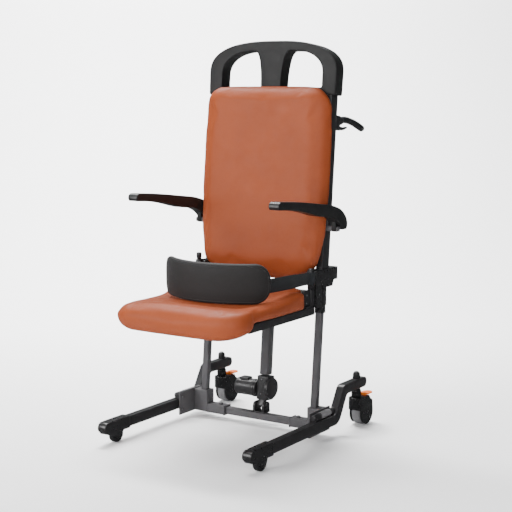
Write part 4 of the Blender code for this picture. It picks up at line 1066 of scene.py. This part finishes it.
for s, _ in SIDES:
    window = outline("opening", [[(s * x, z) for x, z in opening]], "Y", (0, 0, 0), 0.0900, lean=LEAN)
    window.location = handle_place
    socket = leaning_box("socket", (s * POST_X - 0.0123, s * POST_X + 0.0123), (UPRIGHT_Y - 0.0193, UPRIGHT_Y + 0.0193), UPRIGHT_Y_AT, (0.95, 1.0185))
    cut(handle, window, socket)
soften(handle, 0.0022, 3, angle=58)
finish(handle, "carriage", "handle_plastic", "top_handle", smooth=40)

# Back panel and the battery and control box on its rear face.
PANEL_FRONT, PANEL_AT = 0.1135, 0.52
panel = leaning_box("panel_sheet", (-0.1822, 0.1822), (PANEL_FRONT, PANEL_FRONT + 0.0080), PANEL_AT, (0.5000, 0.9820), 0.0018, 3)
finish(panel, "carriage", "panel_board", "back_panel")
control = leaning_box("control_shell", (-0.0750, 0.0750), (PANEL_FRONT + 0.0083, PANEL_FRONT + 0.0583), PANEL_AT, (0.5300, 0.7200), 0.006, 5)
cut(
    control,
    *[
        leaning_box("vent", (-0.0400, 0.0400), (PANEL_FRONT + 0.0570, PANEL_FRONT + 0.0600), PANEL_AT, (z, z + 0.0022))
        for z in (0.6600, 0.6670, 0.6740, 0.6810, 0.6880)
    ],
    leaning_box("parting", (-0.0800, 0.0800), (PANEL_FRONT + 0.0360, PANEL_FRONT + 0.0368), PANEL_AT, (0.5200, 0.5310)),
)
finish(control, "carriage", "black_plastic", "control_box")
for k, (x, z) in enumerate(((-0.0660, 0.5400), (0.0660, 0.5400), (-0.0660, 0.7100), (0.0660, 0.7100))):
    y = lean_y(PANEL_FRONT + 0.0583, z, PANEL_AT)
    screw_head(f"control_screw_{k + 1}", Vector((x, y, z)), (0, 1, -LEAN_SLOPE), 0.0030, "carriage", "dark_steel", 0.0010)
for k, (x, z) in enumerate([(x, z) for x in (-0.165, 0.165) for z in (0.530, 0.740, 0.955)]):
    y = lean_y(PANEL_FRONT + 0.0080, z, PANEL_AT)
    screw_head(f"panel_screw_{k + 1}", Vector((x, y, z)), (0, 1, -LEAN_SLOPE), 0.0042, "carriage", "dark_steel", 0.0014)

# ------------------------------------------------------------------ seat frame
rails = box("seat_rails", (-0.2080, -0.2700, 0.3620), (0.2080, 0.0650, 0.3850), 0.0020, 3)
cut(rails, box("inside", (-0.1900, -0.2520, 0.3500), (0.1900, 0.0470, 0.4000)))
finish(rails, "seat", "black_paint", "seat_frame")
board = box("seat_sheet", (-0.2050, -0.2680, 0.3853), (0.2050, 0.0150, 0.3925), 0.0012, 2)
finish(board, "seat", "panel_board", "seat_board")

hx, hy = SEAT_HINGE
for s, node, name in ((1, "seat_hinge_leaf", "hinge_plate"), (-1, "seat_catch", "catch_plate")):
    leaf = rod(name, "Z", (s * hx, hy, 0.4110), 0.0105, 0.0480, 64, 0.0008, 3)
    add(
        leaf,
        box("plate", (min(s * 0.1925, s * 0.2010), 0.0180, 0.3860), (max(s * 0.1925, s * 0.2010), 0.0640, 0.4345), 0.0012, 2),
        box("foot", (min(s * 0.1905, s * 0.2075), 0.0180, 0.3853), (max(s * 0.1905, s * 0.2075), 0.0530, 0.3900)),
    )
    cut(leaf, rod("bore", "Z", (s * hx, hy, 0.4110), 0.0044, 0.0800, 32))
    finish(leaf, "seat", "black_paint", node)
    for k, (y, z) in enumerate(((0.0330, 0.4215), (0.0300, 0.3985))):
        screw_head(f"{name}_screw_{k + 1}", Vector((s * 0.2010, y, z)), (s, 0, 0), 0.0030, "seat", "zinc", 0.0012)
finish(
    turned(
        "hinge_bolt",
        [(0, 0.4945), (0.0062, 0.4945), (0.0075, 0.4935), (0.0075, 0.4913), (0.0040, 0.4913), (0.0040, 0.3865), (0, 0.3865)],
        "Z",
        (hx, hy, 0),
        48,
    ),
    "carriage",
    "dark_steel",
    "seat_hinge_pin",
)
finish(
    turned(
        "latch_knob",
        [(0, 0.5120), (0.0055, 0.5118), (0.0070, 0.5110), (0.0080, 0.5080), (0.0080, 0.4990), (0.0060, 0.4913), (0.0040, 0.4913), (0.0040, 0.4225), (0.0030, 0.4200), (0, 0.4200)],
        "Z",
        (-hx, hy, 0),
        48,
    ),
    "latch",
    "black_plastic",
    "seat_latch",
)


# ------------------------------------------------------------------ cushions
def ring_inset(points, d):
    """A closed outline moved inwards by d, point by point, along its own normals (anticlockwise outlines)."""
    count = len(points)
    made = []
    for i in range(count):
        a, b, c = Vector(points[i - 1]), Vector(points[i]), Vector(points[(i + 1) % count])
        n1 = Vector((-(b - a).y, (b - a).x)).normalized()
        n2 = Vector((-(c - b).y, (c - b).x)).normalized()
        n = (n1 + n2).normalized()
        made.append(b + n * d)
    return made


def even_ring(points, count):
    """The outline with evenly spaced points."""
    loop = [Vector(p) for p in points] + [Vector(points[0])]
    lengths = [0.0]
    for a, b in zip(loop, loop[1:]):
        lengths.append(lengths[-1] + (b - a).length)
    made, k = [], 0
    for i in range(count):
        target = lengths[-1] * i / count
        while lengths[k + 1] < target:
            k += 1
        t = (target - lengths[k]) / max(1e-12, lengths[k + 1] - lengths[k])
        made.append(loop[k].lerp(loop[k + 1], t))
    return made


def swell(obj, pressure=4.0, cap=0.006, frames=20, voxel=0.005, quality=5, pin=None, smooth=2):
    """Fills a closed shape like a stuffed cover: it is remeshed, blown up a little as cloth, and its movement is capped."""
    remesh = obj.modifiers.new("even skin", "REMESH")
    remesh.mode = "VOXEL"
    remesh.voxel_size = voxel
    bpy.context.view_layer.update()
    graph = bpy.context.evaluated_depsgraph_get()
    mesh = bpy.data.meshes.new_from_object(obj.evaluated_get(graph))
    obj.modifiers.clear()
    obj.data = mesh
    ease(obj, smooth)
    rest = [v.co.copy() for v in obj.data.vertices]
    cloth = obj.modifiers.new("stuffing", "CLOTH")
    settings = cloth.settings
    settings.quality = quality
    settings.mass = 0.3
    settings.tension_stiffness = 25
    settings.compression_stiffness = 25
    settings.shear_stiffness = 12
    settings.bending_stiffness = 4
    settings.use_pressure = True
    settings.uniform_pressure_force = pressure
    settings.effector_weights.gravity = 0
    cloth.collision_settings.use_collision = False
    cloth.collision_settings.use_self_collision = False
    if pin:
        group = obj.vertex_groups.new(name="held")
        held = [i for i, co in enumerate(rest) if pin(co)]
        group.add(held, 1.0, "REPLACE")
        settings.vertex_group_mass = "held"
    cloth.point_cache.frame_start = 1
    cloth.point_cache.frame_end = frames
    for step in range(1, frames + 1):
        scene.frame_set(step)
    bpy.context.view_layer.update()
    graph = bpy.context.evaluated_depsgraph_get()
    blown = bpy.data.meshes.new_from_object(obj.evaluated_get(graph))
    obj.modifiers.clear()
    obj.data = blown
    for vert, home in zip(blown.vertices, rest):
        move = vert.co - home
        if move.length > cap:
            vert.co = home + move.normalized() * cap
    scene.frame_set(1)
    ease(obj, 2)
    return obj


def ease(obj, times, amount=0.5):
    """Relaxes a skin so that its small steps go."""
    if times <= 0:
        return
    bm = bmesh.new()
    bm.from_mesh(obj.data)
    for _ in range(times):
        bmesh.ops.smooth_vert(bm, verts=bm.verts, factor=amount, use_axis_x=True, use_axis_y=True, use_axis_z=True)
    bm.to_mesh(obj.data)
    bm.free()


def subdivided(obj):
    finer = obj.modifiers.new("finer", "SUBSURF")
    finer.levels = finer.render_levels = 1
    return obj


def near(value, low, high):
    """0 below low, 1 above high, and a smooth step between."""
    t = min(1.0, max(0.0, (value - low) / (high - low)))
    return t * t * (3 - 2 * t)


# Back cushion. Its rear is flat on the uprights; its front is a broad crown that falls away to all sides.
BACK_HALF = [(0.1050, 0.4455, 0.25), (0.1930, 0.4800, 0.050), (0.2180, 0.5850, 0.2), (0.2230, 0.7200, 0.4), (0.2218, 0.8600, 0.3), (0.2140, 1.0108, 0.070)]
back_outline = even_ring(fillet(BACK_HALF + [(-x, z, r) for x, z, r in reversed(BACK_HALF)], 10), 180)
BACK_DEEP = 0.0425
EDGE_WALL = 0.006


def back_rear(z):
    """The cushion's rear plane; it keeps a little further forward at the top, where the handle is."""
    return 0.1506 + LEAN_SLOPE * (z - 1.0) + 0.0048 * (1.0 - near(z, 0.950, 0.982))


def back_point(x, z, depth):
    """A point of the back cushion: x, height z and depth in front of its rear plane, in design coordinates."""
    return Vector((x, back_rear(z) - depth * math.cos(LEAN), z + depth * math.sin(LEAN)))


def back_width(z):
    """Half the cushion's width at a height."""
    rows = [(0.4300, 0.2060), (0.5850, 0.2180), (0.7200, 0.2230), (0.8600, 0.2218), (1.0200, 0.2133)]
    for (z0, w0), (z1, w1) in zip(rows, rows[1:]):
        if z <= z1:
            return w0 + (w1 - w0) * max(0.0, (z - z0) / (z1 - z0))
    return rows[-1][1]


def crown(x, z, d):
    """How far the front stands out: it falls away to each side on its own, so that no creases run to the corners."""
    def fall(s, soft, power):
        t = min(1.0, max(0.0, s) / soft)
        return math.sqrt(max(0.0, 1.0 - (1.0 - t) ** power))

    sides = fall(back_width(z) + 0.0005 - abs(x), 0.070, 2.4)
    ends = fall(1.0110 - z, 0.060, 2.4) * fall(z - 0.4435, 0.085, 2.4)
    return (BACK_DEEP - EDGE_WALL) * sides * ends * (0.35 + 0.65 * fall(d, 0.026, 2.0)) if d > 0 else 0.0


bm = bmesh.new()
middle = Vector((0.0, 0.7300))
rows = []
for share in (0.0, 0.35, 0.7, 0.92):
    rows.append([bm.verts.new(back_point(*(middle.lerp(p, share) if share else middle.lerp(p, 0.02)), 0.0)) for p in back_outline])
rows.append([bm.verts.new(back_point(*(middle.lerp(p, 0.985)), 0.0008)) for p in back_outline])
rows.append([bm.verts.new(back_point(*p, EDGE_WALL)) for p in back_outline])
steps = 22
for k in range(1, steps + 1):
    share = (k / steps) ** 1.5
    row = []
    for p in back_outline:
        q = p.lerp(middle, share * 0.98)
        d = (p - q).length
        row.append(bm.verts.new(back_point(*q, EDGE_WALL + crown(q.x, q.y, d))))
    rows.append(row)
for a, b in zip(rows, rows[1:]):
    for k in range(len(a)):
        bm.faces.new((a[k], a[(k + 1) % len(a)], b[(k + 1) % len(a)], b[k]))
bm.faces.new(rows[0])
bm.faces.new(rows[-1])
back = from_bmesh("back_pad", bm)
swell(back, 3.0, 0.0030, 14, 0.0055, smooth=8, pin=lambda co: co.y > back_rear(co.z) - 0.004)
subdivided(back)
back = finish(back, "carriage", "orange_brown_leather", "back_cushion", smooth=180)

# Seat cushion: a thin pad on the board, with a deep roll that hangs in front of the frame.
SEAT_END, SEAT_TOP, ROLL_LOW, ROLL_MID = 0.2185, 0.4205, 0.3382, 0.3800


def blunt(t, power):
    t = min(1.0, max(0.0, t))
    return max(0.0, 1.0 - t**power) ** (1.0 / power)


def sag(x):
    """How far the seat's top falls towards its catch side."""
    return 0.0180 * min(1.0, max(0.0, (-x - 0.050) / 0.168)) ** 1.6


def roll_front(x):
    return -0.3428 + 0.060 * (1.0 - blunt((abs(x) - 0.1335) / 0.0855, 2.0))


bm = bmesh.new()
rows = []
for k in range(81):
    a = math.pi * (k / 80 - 0.5)
    x = (SEAT_END - 0.0005) * math.sin(a)
    size = max(0.03, blunt((abs(x) - 0.176) / (SEAT_END + 0.0008 - 0.176), 2.2))
    start, power = (0.112, 1.85) if x > 0 else (0.145, 2.1)
    low = max(0.03, blunt((abs(x) - start) / (SEAT_END + 0.0008 - start), power))
    y0, y1 = roll_front(x), -0.2600
    row = []
    for j in range(48):
        t = 2 * math.pi * j / 48
        along, up = (math.copysign(abs(f(t)) ** 0.92, f(t)) for f in (math.cos, math.sin))
        high = (SEAT_TOP - ROLL_MID) * (0.30 + 0.70 * size) if up > 0 else (ROLL_MID - ROLL_LOW) * low
        row.append(bm.verts.new((x, (y0 + y1) / 2 + (y1 - y0) / 2 * along, ROLL_MID + high * up)))
    rows.append(row)
for a, b in zip(rows, rows[1:]):
    for k in range(len(a)):
        bm.faces.new((a[k], a[(k + 1) % len(a)], b[(k + 1) % len(a)], b[k]))
bm.faces.new(rows[0])
bm.faces.new(rows[-1])
roll = from_bmesh("roll", bm)
half_plan = [(0.2130, -0.3040, 0.034), (0.2185, -0.1500, 0.5), (0.2170, 0.0020, 0.010), (0.1842, 0.0050, 0.010), (0.1815, 0.0300, 0.02), (0.1750, 0.0590, 0.022)]
seat = outline("seat_pad", [fillet(half_plan + [(-x, y, r) for x, y, r in reversed(half_plan)], 8)], "Z", (0, 0, (SEAT_TOP + 0.3855) / 2), SEAT_TOP - 0.3855, 0.0075, 4)
bpy.context.view_layer.update()
graph = bpy.context.evaluated_depsgraph_get()
bm = bmesh.new()
for part in (seat, roll):
    mesh = bpy.data.meshes.new_from_object(part.evaluated_get(graph))
    mesh.transform(part.matrix_world)
    bm.from_mesh(mesh)
for part in (seat, roll):
    bpy.data.objects.remove(part, do_unlink=True)
seat = from_bmesh("seat_pad", bm)
swell(seat, 3.5, 0.0030, 14, 0.0045, smooth=9, pin=lambda co: co.z < 0.3970 and co.y > -0.262)
for vert in seat.data.vertices:
    x, y, z = vert.co
    z -= near(z, 0.372, 0.414) * sag(x) * near(-0.010 - y, 0.0, 0.110)
    if z > 0.398:
        # A shallow dish for the sitter, bounded by soft ridges at the front and the right, and a rise to the rear.
        share = near(z, 0.398, 0.412)
        dish = near(0.190 - abs(x), 0.0, 0.050) * near(y, -0.290, -0.225) * near(0.035 - y, 0.0, 0.050)
        z += share * (0.016 * near(y, -0.150, 0.010) - 0.0075 * dish)
    if z < 0.3946 and y > -0.262:
        if abs(x) < 0.2086:
            z = 0.3946
        elif y > -0.2715:
            x = math.copysign(max(abs(x), 0.2092), x)
    vert.co = (x, y, z)
subdivided(seat)
seat = finish(seat, "seat", "orange_brown_leather", "seat_cushion", smooth=180)

# ------------------------------------------------------------------ belt
PAD_Z = (0.4170, 0.5290)
BOW_R, BOW_Y, BOW_HALF = 0.2393, 0.031, 49.8
PAD_THICK = 0.0236
pad_mid_r = BOW_R - PAD_THICK / 2 - 0.0002
half_u, half_v = math.radians(BOW_HALF) * pad_mid_r, (PAD_Z[1] - PAD_Z[0]) / 2


PAD_LONG, PAD_CORNER, PAD_END = 72, 16, 6


def pad_ring(inset, dense=1):
    """The pad's rounded outline, in its unrolled plane, inset by a distance; every ring has the same points."""
    hu, hv = half_u - inset, half_v - inset
    r = max(0.0012, 0.0450 - inset)
    ring = []
    for k in range(PAD_LONG):
        ring.append((-(hu - r) + 2 * (hu - r) * k / PAD_LONG, -hv))
    ring += arc((hu - r, -(hv - r)), r, -90, 0, PAD_CORNER)
    for k in range(1, PAD_END):
        ring.append((hu, -(hv - r) + 2 * (hv - r) * k / PAD_END))
    ring += arc((hu - r, hv - r), r, 0, 90, PAD_CORNER)
    for k in range(1, PAD_LONG):
        ring.append((hu - r - 2 * (hu - r) * k / PAD_LONG, hv))
    ring += arc((-(hu - r), hv - r), r, 90, 180, PAD_CORNER)
    for k in range(1, PAD_END):
        ring.append((-hu, hv - r - 2 * (hv - r) * k / PAD_END))
    ring += arc((-(hu - r), -(hv - r)), r, 180, 270, PAD_CORNER)[:-1]
    return [Vector(p) for p in ring]


def pad_place(u, v, out):
    a = u / pad_mid_r
    r = pad_mid_r + out
    return Vector((r * math.sin(a), BOW_Y - r * math.cos(a), sum(PAD_Z) / 2 + v))


def puff(inset):
    """Half the pad's thickness at a distance from its edge: a rounded edge, a sewn groove, and a full middle."""
    edge = math.sqrt(max(0.0, 1 - (1 - min(1.0, inset / 0.0085)) ** 2))
    groove = math.exp(-(((inset - 0.0075) / 0.0013) ** 2))
    middle = near(inset, 0.004, 0.030)
    return PAD_THICK / 2 * edge * (0.86 + 0.14 * middle) - 0.0011 * groove


insets = [0.0, 0.0003, 0.001, 0.002, 0.0032, 0.0045, 0.0056, 0.0064, 0.0070, 0.0075, 0.0080, 0.0086, 0.0095, 0.011, 0.014, 0.018, 0.023, 0.029, 0.036, 0.0435]
bm = bmesh.new()
sides_rows = []
for way in (1, -1):
    rows = []
    for inset in insets:
        ring = pad_ring(inset)
        if inset == 0.0:
            if way == 1:
                first = [bm.verts.new(pad_place(p.x, p.y, 0.0)) for p in ring]
            rows.append(first)
            continue
        rows.append([bm.verts.new(pad_place(p.x, p.y, way * puff(inset))) for p in ring])
    sides_rows.append(rows)
for rows in sides_rows:
    for a, b in zip(rows, rows[1:]):
        for k in range(len(a)):
            bm.faces.new((a[k], a[(k + 1) % len(a)], b[(k + 1) % len(a)], b[k]))
    # The inmost rings close with a strip from the lower edge to the upper edge.
    last = rows[-1]
    count = len(last)
    mirror = PAD_LONG + (PAD_CORNER + 1) * 2 + (PAD_END - 1) + PAD_LONG - 1
    first_left = -((PAD_CORNER + 1) - 1) - (PAD_END // 2)
    for k in range(first_left, PAD_LONG + PAD_CORNER + PAD_END // 2):
        corners = []
        for index in (k, k + 1, mirror - k - 1, mirror - k):
            vert = last[index % count]
            if vert not in corners:
                corners.append(vert)
        if len(corners) > 2:
            bm.faces.new(corners)
pad = from_bmesh("belt_cushion", bm)
pad_obj = subdivided(pad)
pad_obj = finish(pad_obj, "belt", "belt_cloth", "belt_pad", smooth=180)
for way, name in ((1, "belt_seam_front"), (-1, "belt_seam_rear")):
    ring = pad_ring(0.0074)
    line = [pad_place(p.x, p.y, way * (puff(0.0074) + 0.0001)) for p in ring]
    curve = bpy.data.curves.new(name, "CURVE")
    curve.dimensions = "3D"
    curve.bevel_depth = 0.00045
    curve.bevel_resolution = 2
    spline = curve.splines.new("POLY")
    spline.points.add(len(line) - 1)
    for point, place in zip(spline.points, line):
        point.co = (*place, 1)
    spline.use_cyclic_u = True
    seam = bpy.data.objects.new(name, curve)
    bench.objects.link(seam)
    finish(seam, "belt", "dark_thread", smooth=60)

STRAP_Z = (0.4492, 0.4842)
pad_end = arc((0, BOW_Y), BOW_R - 0.012, -90 + BOW_HALF, -90 + BOW_HALF, 1)[0]
hx, hy = SEAT_HINGE
for s, side in SIDES:
    run = Vector((hx - pad_end[0], hy - pad_end[1])).normalized()
    start = Vector(pad_end) - run * 0.0060
    over = Vector((run.y, -run.x))
    turn_at = Vector((hx, hy))
    middle_z, half_h = sum(STRAP_Z) / 2, (STRAP_Z[1] - STRAP_Z[0]) / 2
    if s > 0:
        first = math.degrees(math.atan2(-run.y, -run.x))
        ring_mid = arc(turn_at, 0.01165, first + 10, first + 350, 60)
        line = [tuple(start.lerp(Vector(ring_mid[0]), t / 24)) for t in range(24)] + ring_mid
        band = []
        for i, p in enumerate(line):
            ahead = (Vector(line[min(i + 1, len(line) - 1)]) - Vector(line[max(i - 1, 0)])).normalized()
            band.append((Vector(p), Vector((ahead.y, -ahead.x))))
    else:
        reach = (turn_at - start).length - 0.0137
        line = [tuple(start + run * reach * t / 24) for t in range(25)]
        band = [(Vector(p), over) for p in line]
        first = math.degrees(math.atan2(-run.y, -run.x))
        hook = outline(
            "hook_plate",
            [[(-x, y) for x, y in arc(turn_at, 0.0140, first - 55, first + 55, 30) + arc(turn_at, 0.0112, first + 55, first - 55, 30)]],
            "Z",
            (0, 0, middle_z),
            0.0300,
            0.0004,
            2,
            angle=60,
        )
        finish(hook, "belt", "dark_steel")
    half_t = 0.00105
    bm = bmesh.new()
    rows = []
    section = [(-half_t, -half_h + 0.0006), (-half_t * 0.5, -half_h), (half_t * 0.5, -half_h), (half_t, -half_h + 0.0006)]
    section += [(half_t, half_h * t) for t in (-0.8, -0.4, 0.0, 0.4, 0.8)]
    section += [(half_t, half_h - 0.0006), (half_t * 0.5, half_h), (-half_t * 0.5, half_h), (-half_t, half_h - 0.0006)]
    section += [(-half_t, half_h * t) for t in (0.8, 0.4, 0.0, -0.4, -0.8)]
    for i, (p, n) in enumerate(band):
        # The selvedges stand a little proud of the webbing's middle, and the run is wider than its loop.
        wide = 1.0 + 0.13 * (1.0 - near(i, 12, 21))
        rows.append([bm.verts.new((s * (p.x + n.x * a * (1 + 0.18 * (abs(b) > half_h * 0.7))), p.y + n.y * a * (1 + 0.18 * (abs(b) > half_h * 0.7)), middle_z + b * wide)) for a, b in section])
    for a, b in zip(rows, rows[1:]):
        for k in range(len(a)):
            bm.faces.new((a[k], a[(k + 1) % len(a)], b[(k + 1) % len(a)], b[k]))
    bm.faces.new(rows[0])
    bm.faces.new(rows[-1])
    strap = from_bmesh("strap_" + side, bm)
    finish(strap, "belt", "webbing", "belt_strap_" + side, smooth=40)
    # Bar tacks where the strap goes into the pad and where it is sewn back on itself.
    for k, at in enumerate((0.0130, 0.0165, 0.0200)):
        p = start + run * at
        bar = outline(
            f"tack_{side}_{k + 1}",
            [[tuple(p + over * 0.0018 + run * 0.0006), tuple(p + over * 0.0018 - run * 0.0006), tuple(p - over * 0.0018 - run * 0.0006), tuple(p - over * 0.0018 + run * 0.0006)]],
            "Z",
            (0, 0, middle_z),
            2 * half_h - 0.004,
            0.0003,
            2,
        )
        if s < 0:
            bar.scale = (-1, 1, 1)
        finish(bar, "belt", "webbing")

# ------------------------------------------------------------------ camera, light and floor
camera = bpy.data.cameras.new("camera")
camera.lens = 85.80
camera.sensor_width = 36
camera.clip_end = 50
eye = bpy.data.objects.new("camera", camera)
scene.collection.objects.link(eye)
eye.location = (1.95142, -2.89323 + SHIFT.y, 1.00786)
eye.rotation_euler = (math.radians(82.0854), 0, math.radians(33.3145))
scene.camera = eye

backdrop = Look("pale_studio", 0.9, 0.0, 0.1)
backdrop.colour(backdrop.mix(backdrop.noise(0.6, 2.0), (0.94, 0.94, 0.943), (0.96, 0.96, 0.962)))
bm = bmesh.new()
curve_line = [(-2.6, 0.0), (1.6, 0.0)] + [(1.6 + 1.4 * math.sin(math.radians(a)), 1.4 - 1.4 * math.cos(math.radians(a))) for a in range(6, 91, 6)] + [(3.0, 4.2)]
view_along = Vector((-math.sin(math.radians(33.3145)), math.cos(math.radians(33.3145)), 0))
across = Vector((view_along.y, -view_along.x, 0))
rows = [[bm.verts.new(view_along * a + across * w + Vector((0, 0, b - 0.0004))) for w in (-2.2, 2.2)] for a, b in curve_line]
for a, b in zip(rows, rows[1:]):
    bm.faces.new((a[0], a[1], b[1], b[0]))
mesh = bpy.data.meshes.new("studio_sweep")
bm.to_mesh(mesh)
bm.free()
floor = bpy.data.objects.new("studio_sweep", mesh)
scene.collection.objects.link(floor)
floor.data.materials.append(backdrop.material)
floor.data.shade_smooth()
floor.visible_glossy = False  # the sheen of the pieces comes from the lights and not from the pale floor


def panel_light(name, place, target, width, height, power, tone=(1, 1, 1)):
    light = bpy.data.lights.new(name, "AREA")
    light.shape = "RECTANGLE"
    light.size, light.size_y = width, height
    light.energy = power
    light.color = tone
    obj = bpy.data.objects.new(name, light)
    scene.collection.objects.link(obj)
    obj.location = place
    obj.rotation_euler = (Vector(target) - Vector(place)).to_track_quat("-Z", "Y").to_euler()
    return obj


panel_light("key", (-1.9, -3.4, 1.7), (0, 0, 0.55), 1.6, 1.8, 150)
panel_light("right_fill", (1.5, -3.3, 1.5), (0, 0, 0.6), 1.0, 1.6, 78)
panel_light("top", (-0.4, -0.6, 3.2), (0, 0, 0.4), 1.6, 1.6, 60)
panel_light("sweep_light", (-1.4, 0.9, 3.4), (-1.9, 2.9, 0.9), 2.6, 1.2, 520)

world = bpy.data.worlds.new("studio")
world.use_nodes = True
world.node_tree.nodes["Background"].inputs["Color"].default_value = (0.9, 0.92, 0.95, 1)
world.node_tree.nodes["Background"].inputs["Strength"].default_value = 0.15
scene.world = world

bpy.data.collections.remove(bench)
